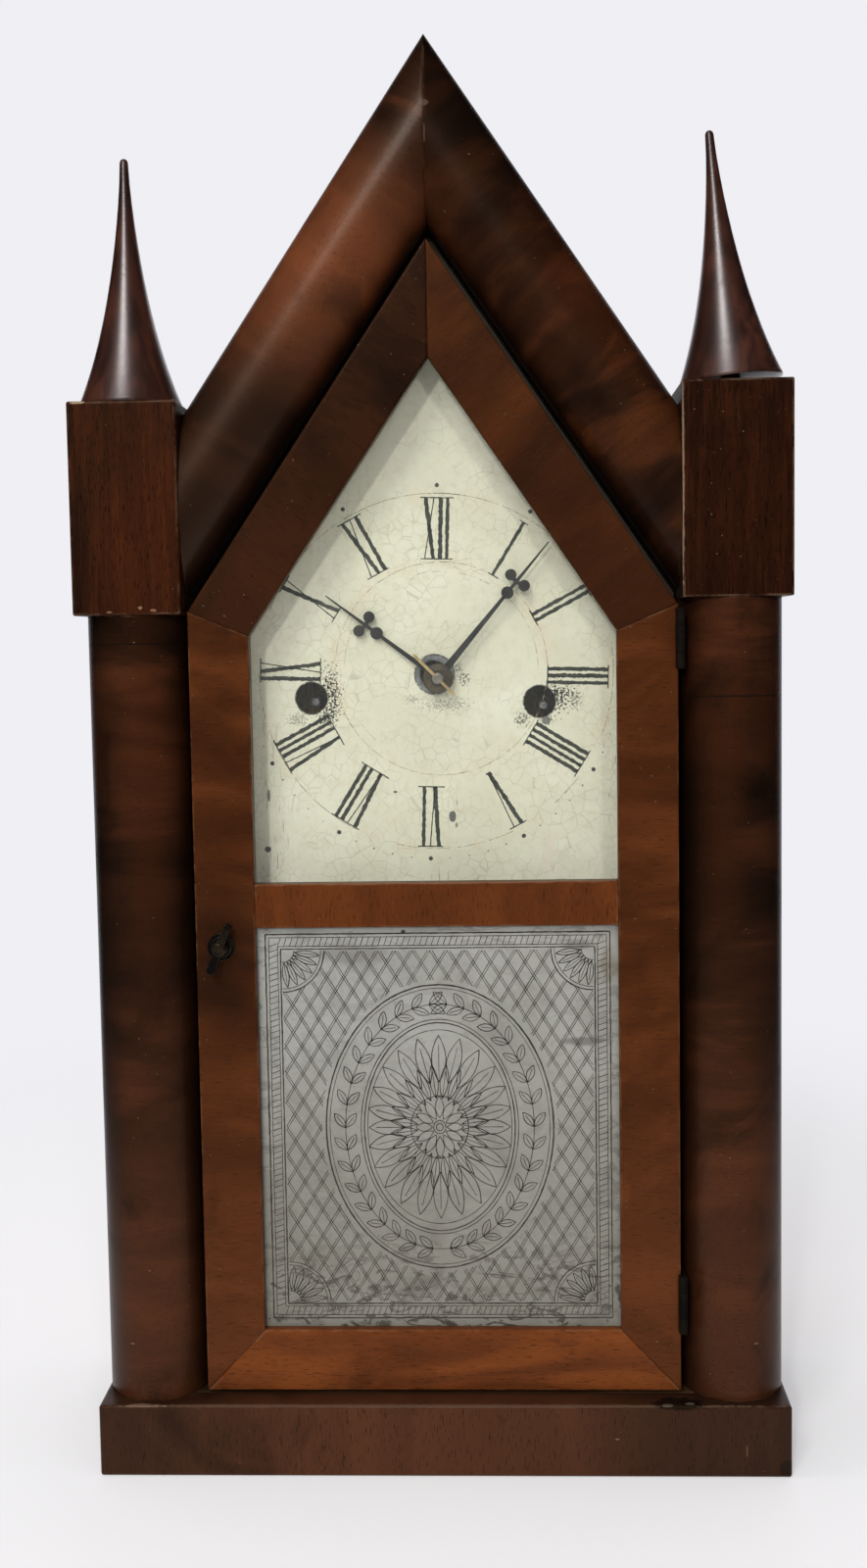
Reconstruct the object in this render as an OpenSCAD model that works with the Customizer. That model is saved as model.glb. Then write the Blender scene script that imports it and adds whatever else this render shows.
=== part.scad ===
/* [Case] */
// Height from the floor to the apex of the gable
case_h = 508; // [470:1:560]
// Depth from the front of the base to the back of the back board
case_depth = 105; // [99:1:140]
// Width over the side boards
case_w = 247; // [238:1:262]
// Slope of the gable, measured from the vertical
gable_angle = 34.15; // [32:0.05:37]
// Height of the base
base_h = 26; // [20:0.5:34]
// How far the base stands out past the side boards
base_reach = 0.5; // [0:0.1:4]
// Thickness of the base front and returns
base_t = 12; // [10:0.5:16]
// Thickness of the bottom board
bottom_t = 9; // [6:0.5:14]
// Thickness of the side boards
side_t = 9; // [7:0.5:12]
// Thickness of the roof boards
roof_t = 10; // [7:0.5:12]
// Thickness of the back board
back_t = 7; // [5:0.5:10]
// Thickness of the pine frame behind the columns and gable mouldings
frame_t = 9; // [7:0.5:12]

/* [Columns, blocks and finials] */
// Width of the half-round stock of the columns and gable mouldings
stock_w = 36; // [30:0.5:40]
// Depth of the half-round stock
stock_t = 22; // [20:0.5:26]
// Step from the base front back to the column front
column_set = 4; // [2:0.5:8]
// Width of the blocks
block_w = 38; // [37:0.5:41]
// Height of the blocks
block_h = 73.8; // [60:0.2:85]
// How much higher the right block stands than the left one, each on its own column
block_uneven = 3; // [0:0.1:4]
// Depth of the blocks
block_t = 36; // [34:0.5:40]
// How far the block front stands out past the column front
block_proud = 0.5; // [0:0.1:3]
// Height of a finial above its block
finial_h = 86; // [70:0.5:100]
// Radius of a finial at its foot
finial_r = 17.9; // [14:0.05:18.5]
// Radius of a finial at its blunt tip
finial_tip_r = 1.5; // [0.6:0.1:2]
// Radius of the peg under a finial
peg_r = 3.5; // [2.5:0.1:5]
// Length of the peg under a finial
peg_l = 9; // [6:0.5:12]
// Radial clearance of the left peg in its hole
peg_clear = 0.1; // [0.05:0.05:0.5]
// Radial wear of the right peg's hole, which lets that finial lean
peg_wear = 1.1; // [1:0.1:2]
// Lean of the loose right finial, towards the middle
finial_lean = 5; // [0:0.1:6]

/* [Door] */
// Thickness of the door frame
door_t = 16; // [15:0.5:17]
// Width of the door stiles
door_stile_w = 21.3; // [18:0.1:26]
// Width of the door's sloping rafters
door_rafter_w = 22.6; // [18:0.1:26]
// Width of the door's bottom rail
door_rail_w = 22.6; // [18:0.1:30]
// Width of the mid rail
mid_rail_w = 15.8; // [10:0.1:22]
// Gap between the door and the columns
door_side_gap = 1.7; // [1.6:0.1:2.4]
// Gap between the door and the gable mouldings
door_gable_gap = 4.1; // [2:0.1:6]
// Gap between the door and the base
door_foot_gap = 1.7; // [0.5:0.1:3]
// Gap between the back of the door and the front frame
door_back_gap = 0.5; // [0.3:0.1:1]
// Depth of the lip in front of the glass
lip_t = 4; // [3:0.5:6]
// Width of the rebate that holds the glass
rebate_w = 5; // [4:0.5:7]
// Thickness of the glass
glass_t = 2; // [1.5:0.1:3]
// Clearance between a glass edge and its rebate
glass_clear = 0.3; // [0.2:0.1:1]
// Depth of the glazing strips
strip_t = 4.5; // [3:0.5:5]

/* [Hinges and latch] */
// Height of a hinge
hinge_h = 21; // [15:0.5:30]
// Thickness of the hinge leaves
leaf_t = 0.7; // [0.5:0.1:0.8]
// Outer radius of the hinge knuckles
knuckle_r = 1.6; // [1.4:0.1:1.7]
// Radius of the hinge pin
hinge_pin_r = 0.8; // [0.6:0.05:0.9]
// Running clearance round the hinge pin
hinge_clear = 0.05; // [0.03:0.01:0.1]
// Distance of the upper hinge's top below the door's shoulder
hinge_top_drop = 1.5; // [0:0.5:20]
// Height of the lower hinge's foot above the door's foot
hinge_foot_rise = 22; // [5:1:50]
// Height of the latch above the door's foot
latch_rise = 163.3; // [120:0.1:180]
// Distance of the latch from the stile's inner edge
latch_inset = 12.3; // [8:0.1:15]
// Radius of the latch escutcheon
escutcheon_r = 5; // [4:0.1:8]
// Radius of the latch spindle
spindle_r = 1.6; // [1.2:0.1:2.5]
// Length of the thumb turn, tip to tip
turn_l = 19; // [14:0.5:24]
// Tilt of the thumb turn from the vertical when the door is free
turn_tilt = 21.5; // [15:0.5:40]
// Reach of the latch tongue from its spindle
tongue_l = 15; // [14:0.5:17]
// Width of the latch tongue
tongue_w = 5; // [4:0.5:7]
// Thickness of the latch tongue
tongue_t = 1.5; // [1:0.1:2]

/* [Dial and hands] */
// Distance of the dial centre below the door's shoulders
dial_drop = 23.6; // [18:0.1:28]
// Distance of the mid rail's top below the dial centre
mid_rail_drop = 73.2; // [71:0.1:78]
// Step from the front frame's face back to the dial
dial_set = 5.5; // [4:0.5:7]
// Thickness of the dial sheet
dial_t = 0.6; // [0.4:0.1:1]
// Clearance between the dial edge and the front frame
dial_clear = 1; // [0.5:0.1:3]
// Radius of the dial's centre hole
dial_hole_r = 7.1; // [5:0.1:9]
// Radius of the winding holes
winding_hole_r = 5.8; // [5:0.1:8]
// Width of the cleats behind the dial
cleat_w = 9; // [6:0.5:12]
// Depth of the cleats behind the dial
cleat_t = 11; // [6:0.5:13]
// Length of the minute hand from its arbor
minute_hand_l = 62.8; // [50:0.1:66]
// Distance of the minute hand's cross from its arbor
minute_cross = 44.4; // [30:0.1:48]
// Angle of the minute hand past twelve
minute_hand_turn = 40; // [0:1:359]
// Length of the hour hand from its arbor
hour_hand_l = 50.4; // [35:0.1:55]
// Distance of the hour hand's cross from its arbor
hour_cross = 32.4; // [22:0.1:36]
// Angle of the hour hand past twelve
hour_hand_turn = 307; // [0:1:359]
// Thickness of the hands
hand_t = 0.8; // [0.5:0.1:1.2]
// Length of the taper pin that holds the hands
hand_pin_l = 20.5; // [12:0.5:24]

/* [Movement] */
// Sideways offset of the movement from the dial's centre
movement_x = 1.4; // [0:0.1:2]
// Drop of the movement below the dial's centre
movement_drop = 1.4; // [0:0.1:2]
// Thickness of the brass plates
plate_t = 1.6; // [1.2:0.1:2.4]
// Reach of the plates from the centre arbor to the left
plate_left = 84; // [82:1:88]
// Reach of the plates from the centre arbor to the right
plate_right = 72; // [70:1:80]
// Reach of the plates below the centre arbor
plate_low = 48; // [46:1:54]
// Reach of the plates above the centre arbor
plate_high = 63; // [61:1:68]
// Space kept between the plates with their feet and the roof
roof_room = 7; // [3:0.5:12]
// Distance between the plates
plate_gap = 36; // [35:0.5:42]
// Space between the dial and the front plate
motion_room = 14.7; // [13.5:0.1:18]
// Module of the great wheels and the pinions that they drive
great_module = 0.938; // [0.9:0.002:0.96]
// Module of the centre wheel and the pin wheel
centre_module = 0.5; // [0.45:0.01:0.55]
// Module of the third wheel and the warning wheel
third_module = 0.45; // [0.4:0.01:0.5]
// Sideways place of the time winding square from the centre arbor
time_square_x = 38; // [36:0.1:38.5]
// Sideways place of the strike winding square from the centre arbor
strike_square_x = -45; // [-48:0.1:-42]
// Height of the strike winding square from the centre arbor
strike_square_z = -8; // [-12:0.1:-5]
// Radius of the arbor pivots
pivot_r = 0.9; // [0.7:0.05:1.2]
// Running clearance round pivots and pipes
pivot_clear = 0.05; // [0.03:0.01:0.1]
// Outer radius of the mainsprings
mainspring_r = 21; // [18:0.5:22]
// Width of the mainsprings
mainspring_w = 19; // [14:0.5:19]
// Distance from the suspension to the middle of the bob
pendulum_l = 196; // [170:1:215]
// Radius of the pendulum bob
bob_r = 17; // [12:0.5:20]
// Thickness of the pendulum bob
bob_t = 7; // [5:0.5:8]

/* [Gong] */
// Sideways place of the gong's middle
gong_x = 18; // [10:1:24]
// Height of the gong's middle above the base
gong_rise = 58; // [50:1:70]
// Radius of the gong wire
gong_wire_r = 1.3; // [1:0.1:1.5]
// Radius of the gong's innermost half turn
gong_r = 14; // [13:0.5:18]
// Growth of the gong's radius at each half turn
gong_step = 2.5; // [2:0.1:2.8]
// Half turns of the gong coil
gong_halves = 10; // [8:2:12]

/* [Hidden] */
$fn = 64;
far = 1000;
mahogany = [0.36, 0.17, 0.09];
dark_wood = [0.24, 0.12, 0.08];
pine = [0.72, 0.56, 0.36];
brass = [0.78, 0.62, 0.30];
steel = [0.50, 0.52, 0.55];
iron = [0.16, 0.15, 0.15];
cream = [0.87, 0.86, 0.74];

// Depths, counted from the front of the base towards the back
column_front = column_set;
case_front = column_front + stock_t;
frame_back = case_front + frame_t;
back_front = case_depth - back_t;
door_front = case_front - door_back_gap - door_t;
door_back = door_front + door_t;
glass_front = door_front + lip_t;
dial_front = case_front + dial_set;
dial_back = dial_front + dial_t;
plate_front = dial_back + motion_room;
room_front = plate_front + plate_t;
room_back = room_front + plate_gap;
plate_back = room_back + plate_t;

// Gable and door lines in the plane of the front
case_hw = case_w / 2;
inner_hw = case_hw - side_t;
base_hw = case_hw + base_reach;
column_x = case_hw - stock_w / 2;
column_in = case_hw - stock_w;
stock_r = stock_w / 2;
door_hw = column_in - door_side_gap;
door_apex = case_h - (stock_w + door_gable_gap) / sin(gable_angle);
door_shoulder = door_apex - door_hw / tan(gable_angle);
door_foot = base_h + door_foot_gap;
block_foot = door_shoulder + 0.5;
block_top = block_foot + block_h;
left_top = block_top - block_uneven / 2;
right_top = block_top + block_uneven / 2;
block_x = column_x + 0.5;
block_in = block_x - block_w / 2;
block_front = column_front - block_proud;
block_mid = block_front + block_t / 2;
opening_hw = door_hw - door_stile_w;
dial_z = door_shoulder - dial_drop;
mid_rail_top = dial_z - mid_rail_drop;
mid_rail_foot = mid_rail_top - mid_rail_w;
tablet_foot = door_foot + door_rail_w;

// Arbors of the movement in the plane of the front, as [x, z]
great_teeth = 72;
great_leaves = 12;
train_teeth = 80;
third_teeth = 72;
train_leaves = 8;
escape_teeth = 45;
cannon_leaves = 12;
minute_teeth = 36;
minute_leaves = 10;
hour_teeth = 40;
motion_module = 0.5;
motion_c = motion_module * (cannon_leaves + minute_teeth) / 2;
hour_module = 2 * motion_c / (minute_leaves + hour_teeth);
great_c = great_module * (great_teeth + great_leaves) / 2;
centre_c = centre_module * (train_teeth + train_leaves) / 2;
third_c = third_module * (third_teeth + train_leaves) / 2;
dial_at = [0, dial_z];
centre_at = dial_at + [movement_x, -movement_drop];
time_main_at = centre_at + [time_square_x, -sqrt(great_c * great_c - time_square_x * time_square_x)];
third_at = centre_at + polar(centre_c, 63);
escape_at = third_at + polar(third_c, 67);
escape_r = 12.5;
verge_rise = 17.8;
verge_at = escape_at + [0, verge_rise];
minute_at = centre_at + polar(motion_c, 210);
strike_main_at = centre_at + [strike_square_x, strike_square_z];
pin_at = strike_main_at + polar(great_c, 74);
warning_at = pin_at + polar(centre_c, 113);
fly_at = warning_at + polar(third_c, 25);
hammer_x = -4;
hammer_drop = 36;
hammer_at = centre_at + [hammer_x, -hammer_drop];
count_lever_c = 38.5;
count_lever_at = strike_main_at + polar(count_lever_c, 150);
pillar_edge = 6;
pillar_side = 10;
pillar_ats = [centre_at + [plate_right - pillar_edge, pillar_edge - plate_low],
    centre_at + [pillar_side - plate_left, pillar_edge - plate_low],
    centre_at + [plate_right - pillar_side, plate_high - pillar_edge],
    centre_at + [pillar_side + 4 - plate_left, plate_high - pillar_edge]];

// Layers of the trains, counted back from the front plate's inner face
great_layer = [4, 6.5];
ratchet_layer = [7, 8.6];
centre_layer = [9, 10.5];
third_layer = [14, 15.5];
escape_layer = [20, 21.5];
spring_layer = [12, 12 + mainspring_w];
count_layer = [plate_gap - 3.5, plate_gap - 2.2];
hammer_layer = [plate_gap - 6.2, plate_gap - 4.6];
tail_layer = [12.2, 13.6];
winding_r = 2.5;
gong_z = base_h + gong_rise;
gong_at = [gong_x, gong_z];
gong_depth = room_front + hammer_layer[0] + 0.8;
hinge_x = door_hw + 0.8;
hinge_depth = door_front - 1.8;
upper_hinge_z = door_shoulder - hinge_top_drop - hinge_h;
lower_hinge_z = door_foot + hinge_foot_rise;
latch_at = [-(opening_hw + latch_inset), door_foot + latch_rise];
tongue_depth = door_back + 3.5;

function polar(r, a) = [r * cos(a), r * sin(a)];
function roof_z(x) = case_h - abs(x) / tan(gable_angle);
function below(w) = w / sin(gable_angle);
// Meshing: turn of gear b when gear a is turned by turn_a and b lies in direction dir from a
function mesh_turn(teeth_a, turn_a, teeth_b, dir) =
    dir + 180 + 180 / teeth_b - (turn_a - dir) * teeth_a / teeth_b;
function direction(a, b) = atan2(b[1] - a[1], b[0] - a[0]);
pressure = 25;
function involute(a) = tan(a) * 180 / PI - a;
function tooth_half(r, teeth, mod) =
    let (base_r = teeth * mod / 2 * cos(pressure))
    let (a = r > base_r ? acos(base_r / r) : 0)
    82 / teeth + involute(pressure) - involute(a);
function gear_points(teeth, mod, tip, root) =
    let (r = teeth * mod / 2)
    let (rs = [r - root * mod, r, r + tip * mod])
    let (hs = [for (q = rs) tooth_half(q, teeth, mod)])
    [for (i = [0 : teeth - 1]) each concat(
        [for (k = [0 : 2]) polar(rs[k], i * 360 / teeth - hs[k])],
        [for (k = [2 : -1 : 0]) polar(rs[k], i * 360 / teeth + hs[k])])];

// A flat outline in the plane of the front, thickened from depth a to depth b
module slab(a, b) {
    translate([0, b - case_depth / 2, 0])
        rotate([90, 0, 0])
            linear_extrude(b - a)
                children();
}
// A round bar along the depth at place p
module bar(p, a, b, r) {
    translate([p[0], b - case_depth / 2, p[1]])
        rotate([90, 0, 0])
            cylinder(h = b - a, r = r);
}
// Moves a flat outline to place p and turns it
module at(p, turn = 0) {
    translate(p)
        rotate(turn)
            children();
}
module both_sides() {
    children();
    mirror([1, 0, 0])
        children();
}
// The half-round section, standing on its flat back: width along x, depth along y
module half_round() {
    union() {
        translate([-stock_r, stock_r])
            square([stock_w, stock_t - stock_r]);
        intersection() {
            translate([0, stock_r])
                circle(stock_r, $fn = 96);
            translate([-stock_r, 0])
                square([stock_w, stock_r]);
        }
    }
}

module base_boards() {
    color(dark_wood) {
        slab(0, base_t)
            translate([-base_hw, 0])
                square([2 * base_hw, base_h]);
        both_sides()
            slab(base_t, case_depth)
                translate([base_hw - base_t, 0])
                    square([base_t, base_h]);
    }
}
module bottom_board() {
    color(pine)
        slab(base_t, case_depth)
            translate([base_t - base_hw, base_h - bottom_t])
                square([2 * (base_hw - base_t), bottom_t]);
}
module side_boards() {
    color(mahogany)
        both_sides()
            slab(case_front, back_front)
                polygon([
                    [inner_hw, base_h],
                    [case_hw, base_h],
                    [case_hw, roof_z(case_hw)],
                    [inner_hw, roof_z(inner_hw) - below(roof_t)]
                ]);
}
module roof_boards() {
    color(mahogany)
        both_sides()
            slab(case_front, back_front)
                polygon([
                    [0, case_h],
                    [0, case_h - below(roof_t)],
                    [inner_hw, roof_z(inner_hw) - below(roof_t)],
                    [case_hw, roof_z(case_hw)]
                ]);
}
module back_board() {
    color(pine)
        difference() {
            slab(back_front, case_depth)
                polygon([
                    [-case_hw, base_h],
                    [case_hw, base_h],
                    [case_hw, roof_z(case_hw)],
                    [0, case_h],
                    [-case_hw, roof_z(case_hw)]
                ]);
            for (p = foot_screw_ats())
                bar(p, back_front - 1, back_front + screw_l, screw_r);
            for (p = gong_screw_ats())
                bar(p, back_front - 1, back_front + screw_l, screw_r);
        }
}
// Stiles and rafters behind the columns and mouldings; the left stile has the latch slot
module front_frame() {
    frame_in = column_in;
    stile_gap = column_in + latch_at[0];
    slot_rise = tongue_w / 2 + 1;
    slot_drop = sqrt(max(0, tongue_l * tongue_l - stile_gap * stile_gap)) + slot_rise;
    color(pine) {
        difference() {
            both_sides()
                slab(case_front, frame_back)
                    polygon([
                        [frame_in, base_h],
                        [inner_hw, base_h],
                        [inner_hw, roof_z(inner_hw) - below(roof_t)],
                        [frame_in, roof_z(frame_in) - below(stock_w)]
                    ]);
            slab(tongue_depth - 0.4, tongue_depth + tongue_t + 0.4)
                at([latch_at[0] - tongue_l - 1, latch_at[1] - slot_drop])
                    square([tongue_l, slot_drop + slot_rise]);
        }
        both_sides()
            slab(case_front, frame_back)
                polygon([
                    [0, case_h - below(roof_t)],
                    [0, case_h - below(stock_w)],
                    [frame_in, roof_z(frame_in) - below(stock_w)],
                    [inner_hw, roof_z(inner_hw) - below(roof_t)]
                ]);
    }
}
module column(x, top) {
    translate([x, column_front - case_depth / 2, base_h])
        linear_extrude(top - base_h)
            half_round();
}
module column_left() {
    color(dark_wood)
        column(-column_x, left_top - block_h);
}
module column_right() {
    color(dark_wood)
        column(column_x, right_top - block_h);
}
// A block sits on its column and is notched at the back over the roof board
module block(top, hole_clear) {
    difference() {
        union() {
            slab(block_front, case_front)
                translate([block_in, top - block_h])
                    square([block_w, block_h]);
            slab(case_front, block_front + block_t)
                polygon([
                    [block_in, min(roof_z(block_in), top - 1)],
                    [block_in + block_w, roof_z(block_in + block_w)],
                    [block_in + block_w, top],
                    [block_in, top]
                ]);
        }
        translate([block_x, block_mid - case_depth / 2, top - peg_l - 1])
            cylinder(h = peg_l + 2, r = peg_r + hole_clear);
    }
}
module block_left() {
    color(dark_wood)
        mirror([1, 0, 0])
            block(left_top, peg_clear);
}
module block_right() {
    color(dark_wood)
        block(right_top, peg_wear);
}
// A turned cone with a thin lip, a hollow flank that flares to the foot, and a blunt tip
function finial_flank(t) =
    finial_tip_r + (finial_r - finial_tip_r) * (0.25 * pow(1 - t, 4) + 0.75 * pow(1 - t, 1.45));
module finial() {
    lip_h = 0.9;
    flank_h = finial_h - finial_tip_r;
    steps = 16;
    rotate_extrude($fn = 72)
        polygon(concat(
            [[0, 0], [finial_r, 0], [finial_r, lip_h]],
            [for (i = [0 : steps]) let (t = pow(i / steps, 1.4))
                [finial_flank(t), lip_h + (flank_h - lip_h) * t]],
            [[finial_tip_r * 0.8, flank_h + finial_tip_r * 0.6],
                [finial_tip_r * 0.4, flank_h + finial_tip_r * 0.9], [0, finial_h]]));
    translate([0, 0, -peg_l])
        cylinder(h = peg_l, r = peg_r);
}
module finial_left() {
    color(dark_wood)
        translate([-block_x, block_mid - case_depth / 2, left_top])
            finial();
}
module finial_right() {
    color(dark_wood)
        translate([block_x - finial_r, block_mid - case_depth / 2, right_top + 0.03])
            rotate([0, -finial_lean, 0])
                translate([finial_r, 0, 0])
                    finial();
}
// Half-round stock laid along the slope, mitred at the apex and cut off at the block
module gable_moulding() {
    slope_l = (block_in + stock_w) / sin(gable_angle);
    intersection() {
        translate([0, column_front - case_depth / 2, case_h])
            rotate([0, 90 - gable_angle, 0])
                rotate([0, 90, 0])
                    rotate([0, 0, 90])
                        translate([0, 0, -stock_w])
                            linear_extrude(slope_l + 2 * stock_w)
                                gable_section();
        translate([0, -far / 2, 0])
            cube([block_in, far, far]);
    }
}
module gable_section() {
    rotate(-90)
        translate([stock_r, 0])
            half_round();
}
module gable_moulding_left() {
    color(dark_wood)
        mirror([1, 0, 0])
            gable_moulding();
}
module gable_moulding_right() {
    color(dark_wood)
        gable_moulding();
}

cleat_foot = mid_rail_foot;
module dial_cleats() {
    cleat_in = column_in - cleat_w;
    top_in = below(stock_w);
    color(pine)
        both_sides() {
            slab(dial_back, dial_back + cleat_t)
                polygon([
                    [cleat_in, cleat_foot],
                    [column_in, cleat_foot],
                    [column_in, roof_z(column_in) - top_in],
                    [cleat_in, roof_z(cleat_in) - top_in - below(cleat_w)]
                ]);
            slab(dial_back, dial_back + cleat_t)
                polygon([
                    [0, case_h - top_in],
                    [0, case_h - top_in - below(cleat_w)],
                    [cleat_in, roof_z(cleat_in) - top_in - below(cleat_w)],
                    [column_in, roof_z(column_in) - top_in]
                ]);
        }
}
dial_hw = column_in - dial_clear;
dial_foot = mid_rail_top - mid_rail_w / 2;
dial_inset = below(stock_w + dial_clear);
dial_pin_r = 0.7;
function dial_pin_ats() =
    let (x = column_in - cleat_w / 2)
    let (top = case_h - below(stock_w + cleat_w / 2))
    [[x, dial_foot + 8], [-x, dial_foot + 8], [x, dial_z], [-x, dial_z], [0, top]];
module dial() {
    color(cream)
        difference() {
            slab(dial_front, dial_back)
                polygon([
                    [-dial_hw, dial_foot],
                    [dial_hw, dial_foot],
                    [dial_hw, roof_z(dial_hw) - dial_inset],
                    [0, case_h - dial_inset],
                    [-dial_hw, roof_z(dial_hw) - dial_inset]
                ]);
            bar(dial_at, dial_front - 1, dial_back + 1, dial_hole_r);
            for (p = [time_main_at, strike_main_at])
                bar(p + dial_at - centre_at, dial_front - 1, dial_back + 1, winding_hole_r);
            for (p = dial_pin_ats())
                bar(p, dial_front - 1, dial_back + 1, dial_pin_r);
        }
}
module dial_pins() {
    color(steel)
        for (p = dial_pin_ats()) {
            bar(p, dial_front - 0.6, dial_front, 1.5 * dial_pin_r);
            bar(p, dial_front - 0.3, dial_back, dial_pin_r);
        }
}

// Door frame pieces, each with the rebate for its glass behind the front lip
function door_outer_z(x) = door_apex - abs(x) / tan(gable_angle);
function door_inner_z(x, w) = door_outer_z(x) - below(door_rafter_w - w);
module door_stile() {
    difference() {
        slab(door_front, door_back)
            polygon([
                [opening_hw, tablet_foot],
                [door_hw, door_foot],
                [door_hw, door_shoulder],
                [opening_hw, door_inner_z(opening_hw, 0)]
            ]);
        slab(glass_front, door_back + 1)
            door_rebates();
    }
}
// Outline of the two rebates together with the openings that they surround
module door_rebates() {
    in = opening_hw + rebate_w;
    polygon([
        [-in, mid_rail_top - mid_lap],
        [in, mid_rail_top - mid_lap],
        [in, door_inner_z(in, rebate_w)],
        [0, door_inner_z(0, rebate_w)],
        [-in, door_inner_z(in, rebate_w)]
    ]);
    translate([-in, tablet_foot - rebate_w])
        square([2 * in, mid_rail_foot + mid_lap + rebate_w - tablet_foot]);
}
module door_stile_left() {
    color(mahogany)
        difference() {
            mirror([1, 0, 0])
                door_stile();
            bar(latch_at, door_front - 1, door_back + 1, spindle_r + 0.3);
        }
}
module door_stile_right() {
    color(mahogany)
        difference() {
            door_stile();
            for (z = [upper_hinge_z, lower_hinge_z])
                slab(door_front - 1, door_front + door_leaf_d)
                    translate([door_hw - leaf_t, z])
                        square([leaf_t + 1, hinge_h]);
        }
}
module door_rafter() {
    difference() {
        slab(door_front, door_back)
            polygon([
                [0, door_apex],
                [0, door_inner_z(0, 0)],
                [opening_hw, door_inner_z(opening_hw, 0)],
                [door_hw, door_shoulder]
            ]);
        slab(glass_front, door_back + 1)
            door_rebates();
    }
}
module door_rafter_left() {
    color(mahogany)
        mirror([1, 0, 0])
            door_rafter();
}
module door_rafter_right() {
    color(mahogany)
        door_rafter();
}
module door_bottom_rail() {
    color(mahogany)
        difference() {
            slab(door_front, door_back)
                polygon([
                    [-door_hw, door_foot],
                    [door_hw, door_foot],
                    [opening_hw, tablet_foot],
                    [-opening_hw, tablet_foot]
                ]);
            slab(glass_front, door_back + 1)
                door_rebates();
        }
}
module door_mid_rail() {
    color(mahogany)
        union() {
            slab(door_front, glass_front)
                translate([-opening_hw, mid_rail_foot])
                    square([2 * opening_hw, mid_rail_w]);
            slab(glass_front, door_back)
                translate([-opening_hw, mid_rail_foot + mid_lap])
                    square([2 * opening_hw, mid_rail_w - 2 * mid_lap]);
        }
}
mid_lap = min(rebate_w, mid_rail_w / 2 - 1.5);
glass_hw = opening_hw + rebate_w - glass_clear;
dial_glass_foot = mid_rail_top - mid_lap + glass_clear;
tablet_glass_top = mid_rail_foot + mid_lap - glass_clear;
tablet_glass_foot = tablet_foot - rebate_w + glass_clear;
module pane_outline(w) {
    polygon([
        [-glass_hw + w, dial_glass_foot + w],
        [glass_hw - w, dial_glass_foot + w],
        [glass_hw - w, door_inner_z(glass_hw, rebate_w - glass_clear) + w / tan(gable_angle) - below(w)],
        [0, door_inner_z(0, rebate_w - glass_clear) - below(w)],
        [-glass_hw + w, door_inner_z(glass_hw, rebate_w - glass_clear) + w / tan(gable_angle) - below(w)]
    ]);
}
module dial_glass() {
    color([0.85, 0.9, 0.9, 0.3])
        slab(glass_front, glass_front + glass_t)
            pane_outline(0);
}
module tablet_glass() {
    color([0.6, 0.61, 0.58])
        slab(glass_front, glass_front + glass_t)
            translate([-glass_hw, tablet_glass_foot])
                square([2 * glass_hw, tablet_glass_top - tablet_glass_foot]);
}
// Strips that hold both panes from behind
module glazing_strips() {
    w = rebate_w - 1;
    color(dark_wood)
        slab(glass_front + glass_t, glass_front + glass_t + strip_t) {
            difference() {
                pane_outline(0);
                pane_outline(w);
            }
            difference() {
                translate([-glass_hw, tablet_glass_foot])
                    square([2 * glass_hw, tablet_glass_top - tablet_glass_foot]);
                translate([w - glass_hw, tablet_glass_foot + w])
                    square([2 * (glass_hw - w), tablet_glass_top - tablet_glass_foot - 2 * w]);
            }
        }
}

// Hinges: the case leaf has the two end knuckles and the pin, the door leaf has the middle one
door_leaf_d = 11;
knuckle_gap = 0.2;
middle_h = hinge_h * 0.44;
module hinge_bar(z, h, r) {
    translate([hinge_x, hinge_depth - case_depth / 2, z])
        cylinder(h = h, r = r, $fn = 32);
}
module case_hinge_leaves() {
    end_h = (hinge_h - middle_h) / 2 - knuckle_gap;
    color(brass)
        for (z = [upper_hinge_z, lower_hinge_z])
            union() {
                hinge_bar(z, hinge_h, hinge_pin_r);
                for (k = [z, z + hinge_h - end_h]) {
                    hinge_bar(k, end_h, knuckle_r);
                    slab(hinge_depth, case_front)
                        translate([column_in - leaf_t, k])
                            square([leaf_t, end_h]);
                    slab(hinge_depth - knuckle_r * 0.4, hinge_depth + knuckle_r * 0.4)
                        translate([hinge_x, k])
                            square([column_in - hinge_x, end_h]);
                }
                slab(case_front - 2, dial_front - 0.5)
                    translate([column_in - leaf_t, z])
                        square([leaf_t, hinge_h]);
            }
}
module door_hinge_leaves() {
    color(brass)
        for (z = [upper_hinge_z, lower_hinge_z])
            difference() {
                union() {
                    hinge_bar(z + (hinge_h - middle_h) / 2, middle_h, knuckle_r);
                    slab(hinge_depth, door_front + 1)
                        translate([door_hw - leaf_t, z + (hinge_h - middle_h) / 2])
                            square([leaf_t, middle_h]);
                    slab(door_front, door_front + door_leaf_d)
                        translate([door_hw - leaf_t, z])
                            square([leaf_t, hinge_h]);
                }
                hinge_bar(z - 1, hinge_h + 2, hinge_pin_r + hinge_clear);
            }
}

// Latch: escutcheon on the door, thumb turn with its spindle, tongue behind the door
module latch_plate() {
    color(iron)
        difference() {
            union() {
                bar(latch_at, door_front - 0.6, door_front, escutcheon_r);
                bar(latch_at, door_front - 1.3, door_front, escutcheon_r * 0.72);
            }
            bar(latch_at, door_front - 3, door_front + 1, spindle_r + 0.3);
        }
}
module latch_turn() {
    head_front = door_front - 8;
    head_back = door_front - 3.2;
    tail = turn_l / 2;
    color(iron)
        union() {
            bar(latch_at, head_back - 1, tongue_depth + tongue_t, spindle_r);
            bar(latch_at, head_back - 0.5, head_back + 1.6, spindle_r + 1.1);
            slab(head_front + 1.2, head_back)
                at(latch_at, turn_tilt * -1)
                    union() {
                        circle(2.4, $fn = 32);
                        thumb_lobe(tail, 1.3);
                        rotate(180)
                            thumb_lobe(tail, 1.7);
                    }
            slab(head_front, head_front + 1.2)
                at(latch_at, turn_tilt * -1)
                    circle(2.1, $fn = 32);
        }
}
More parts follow.
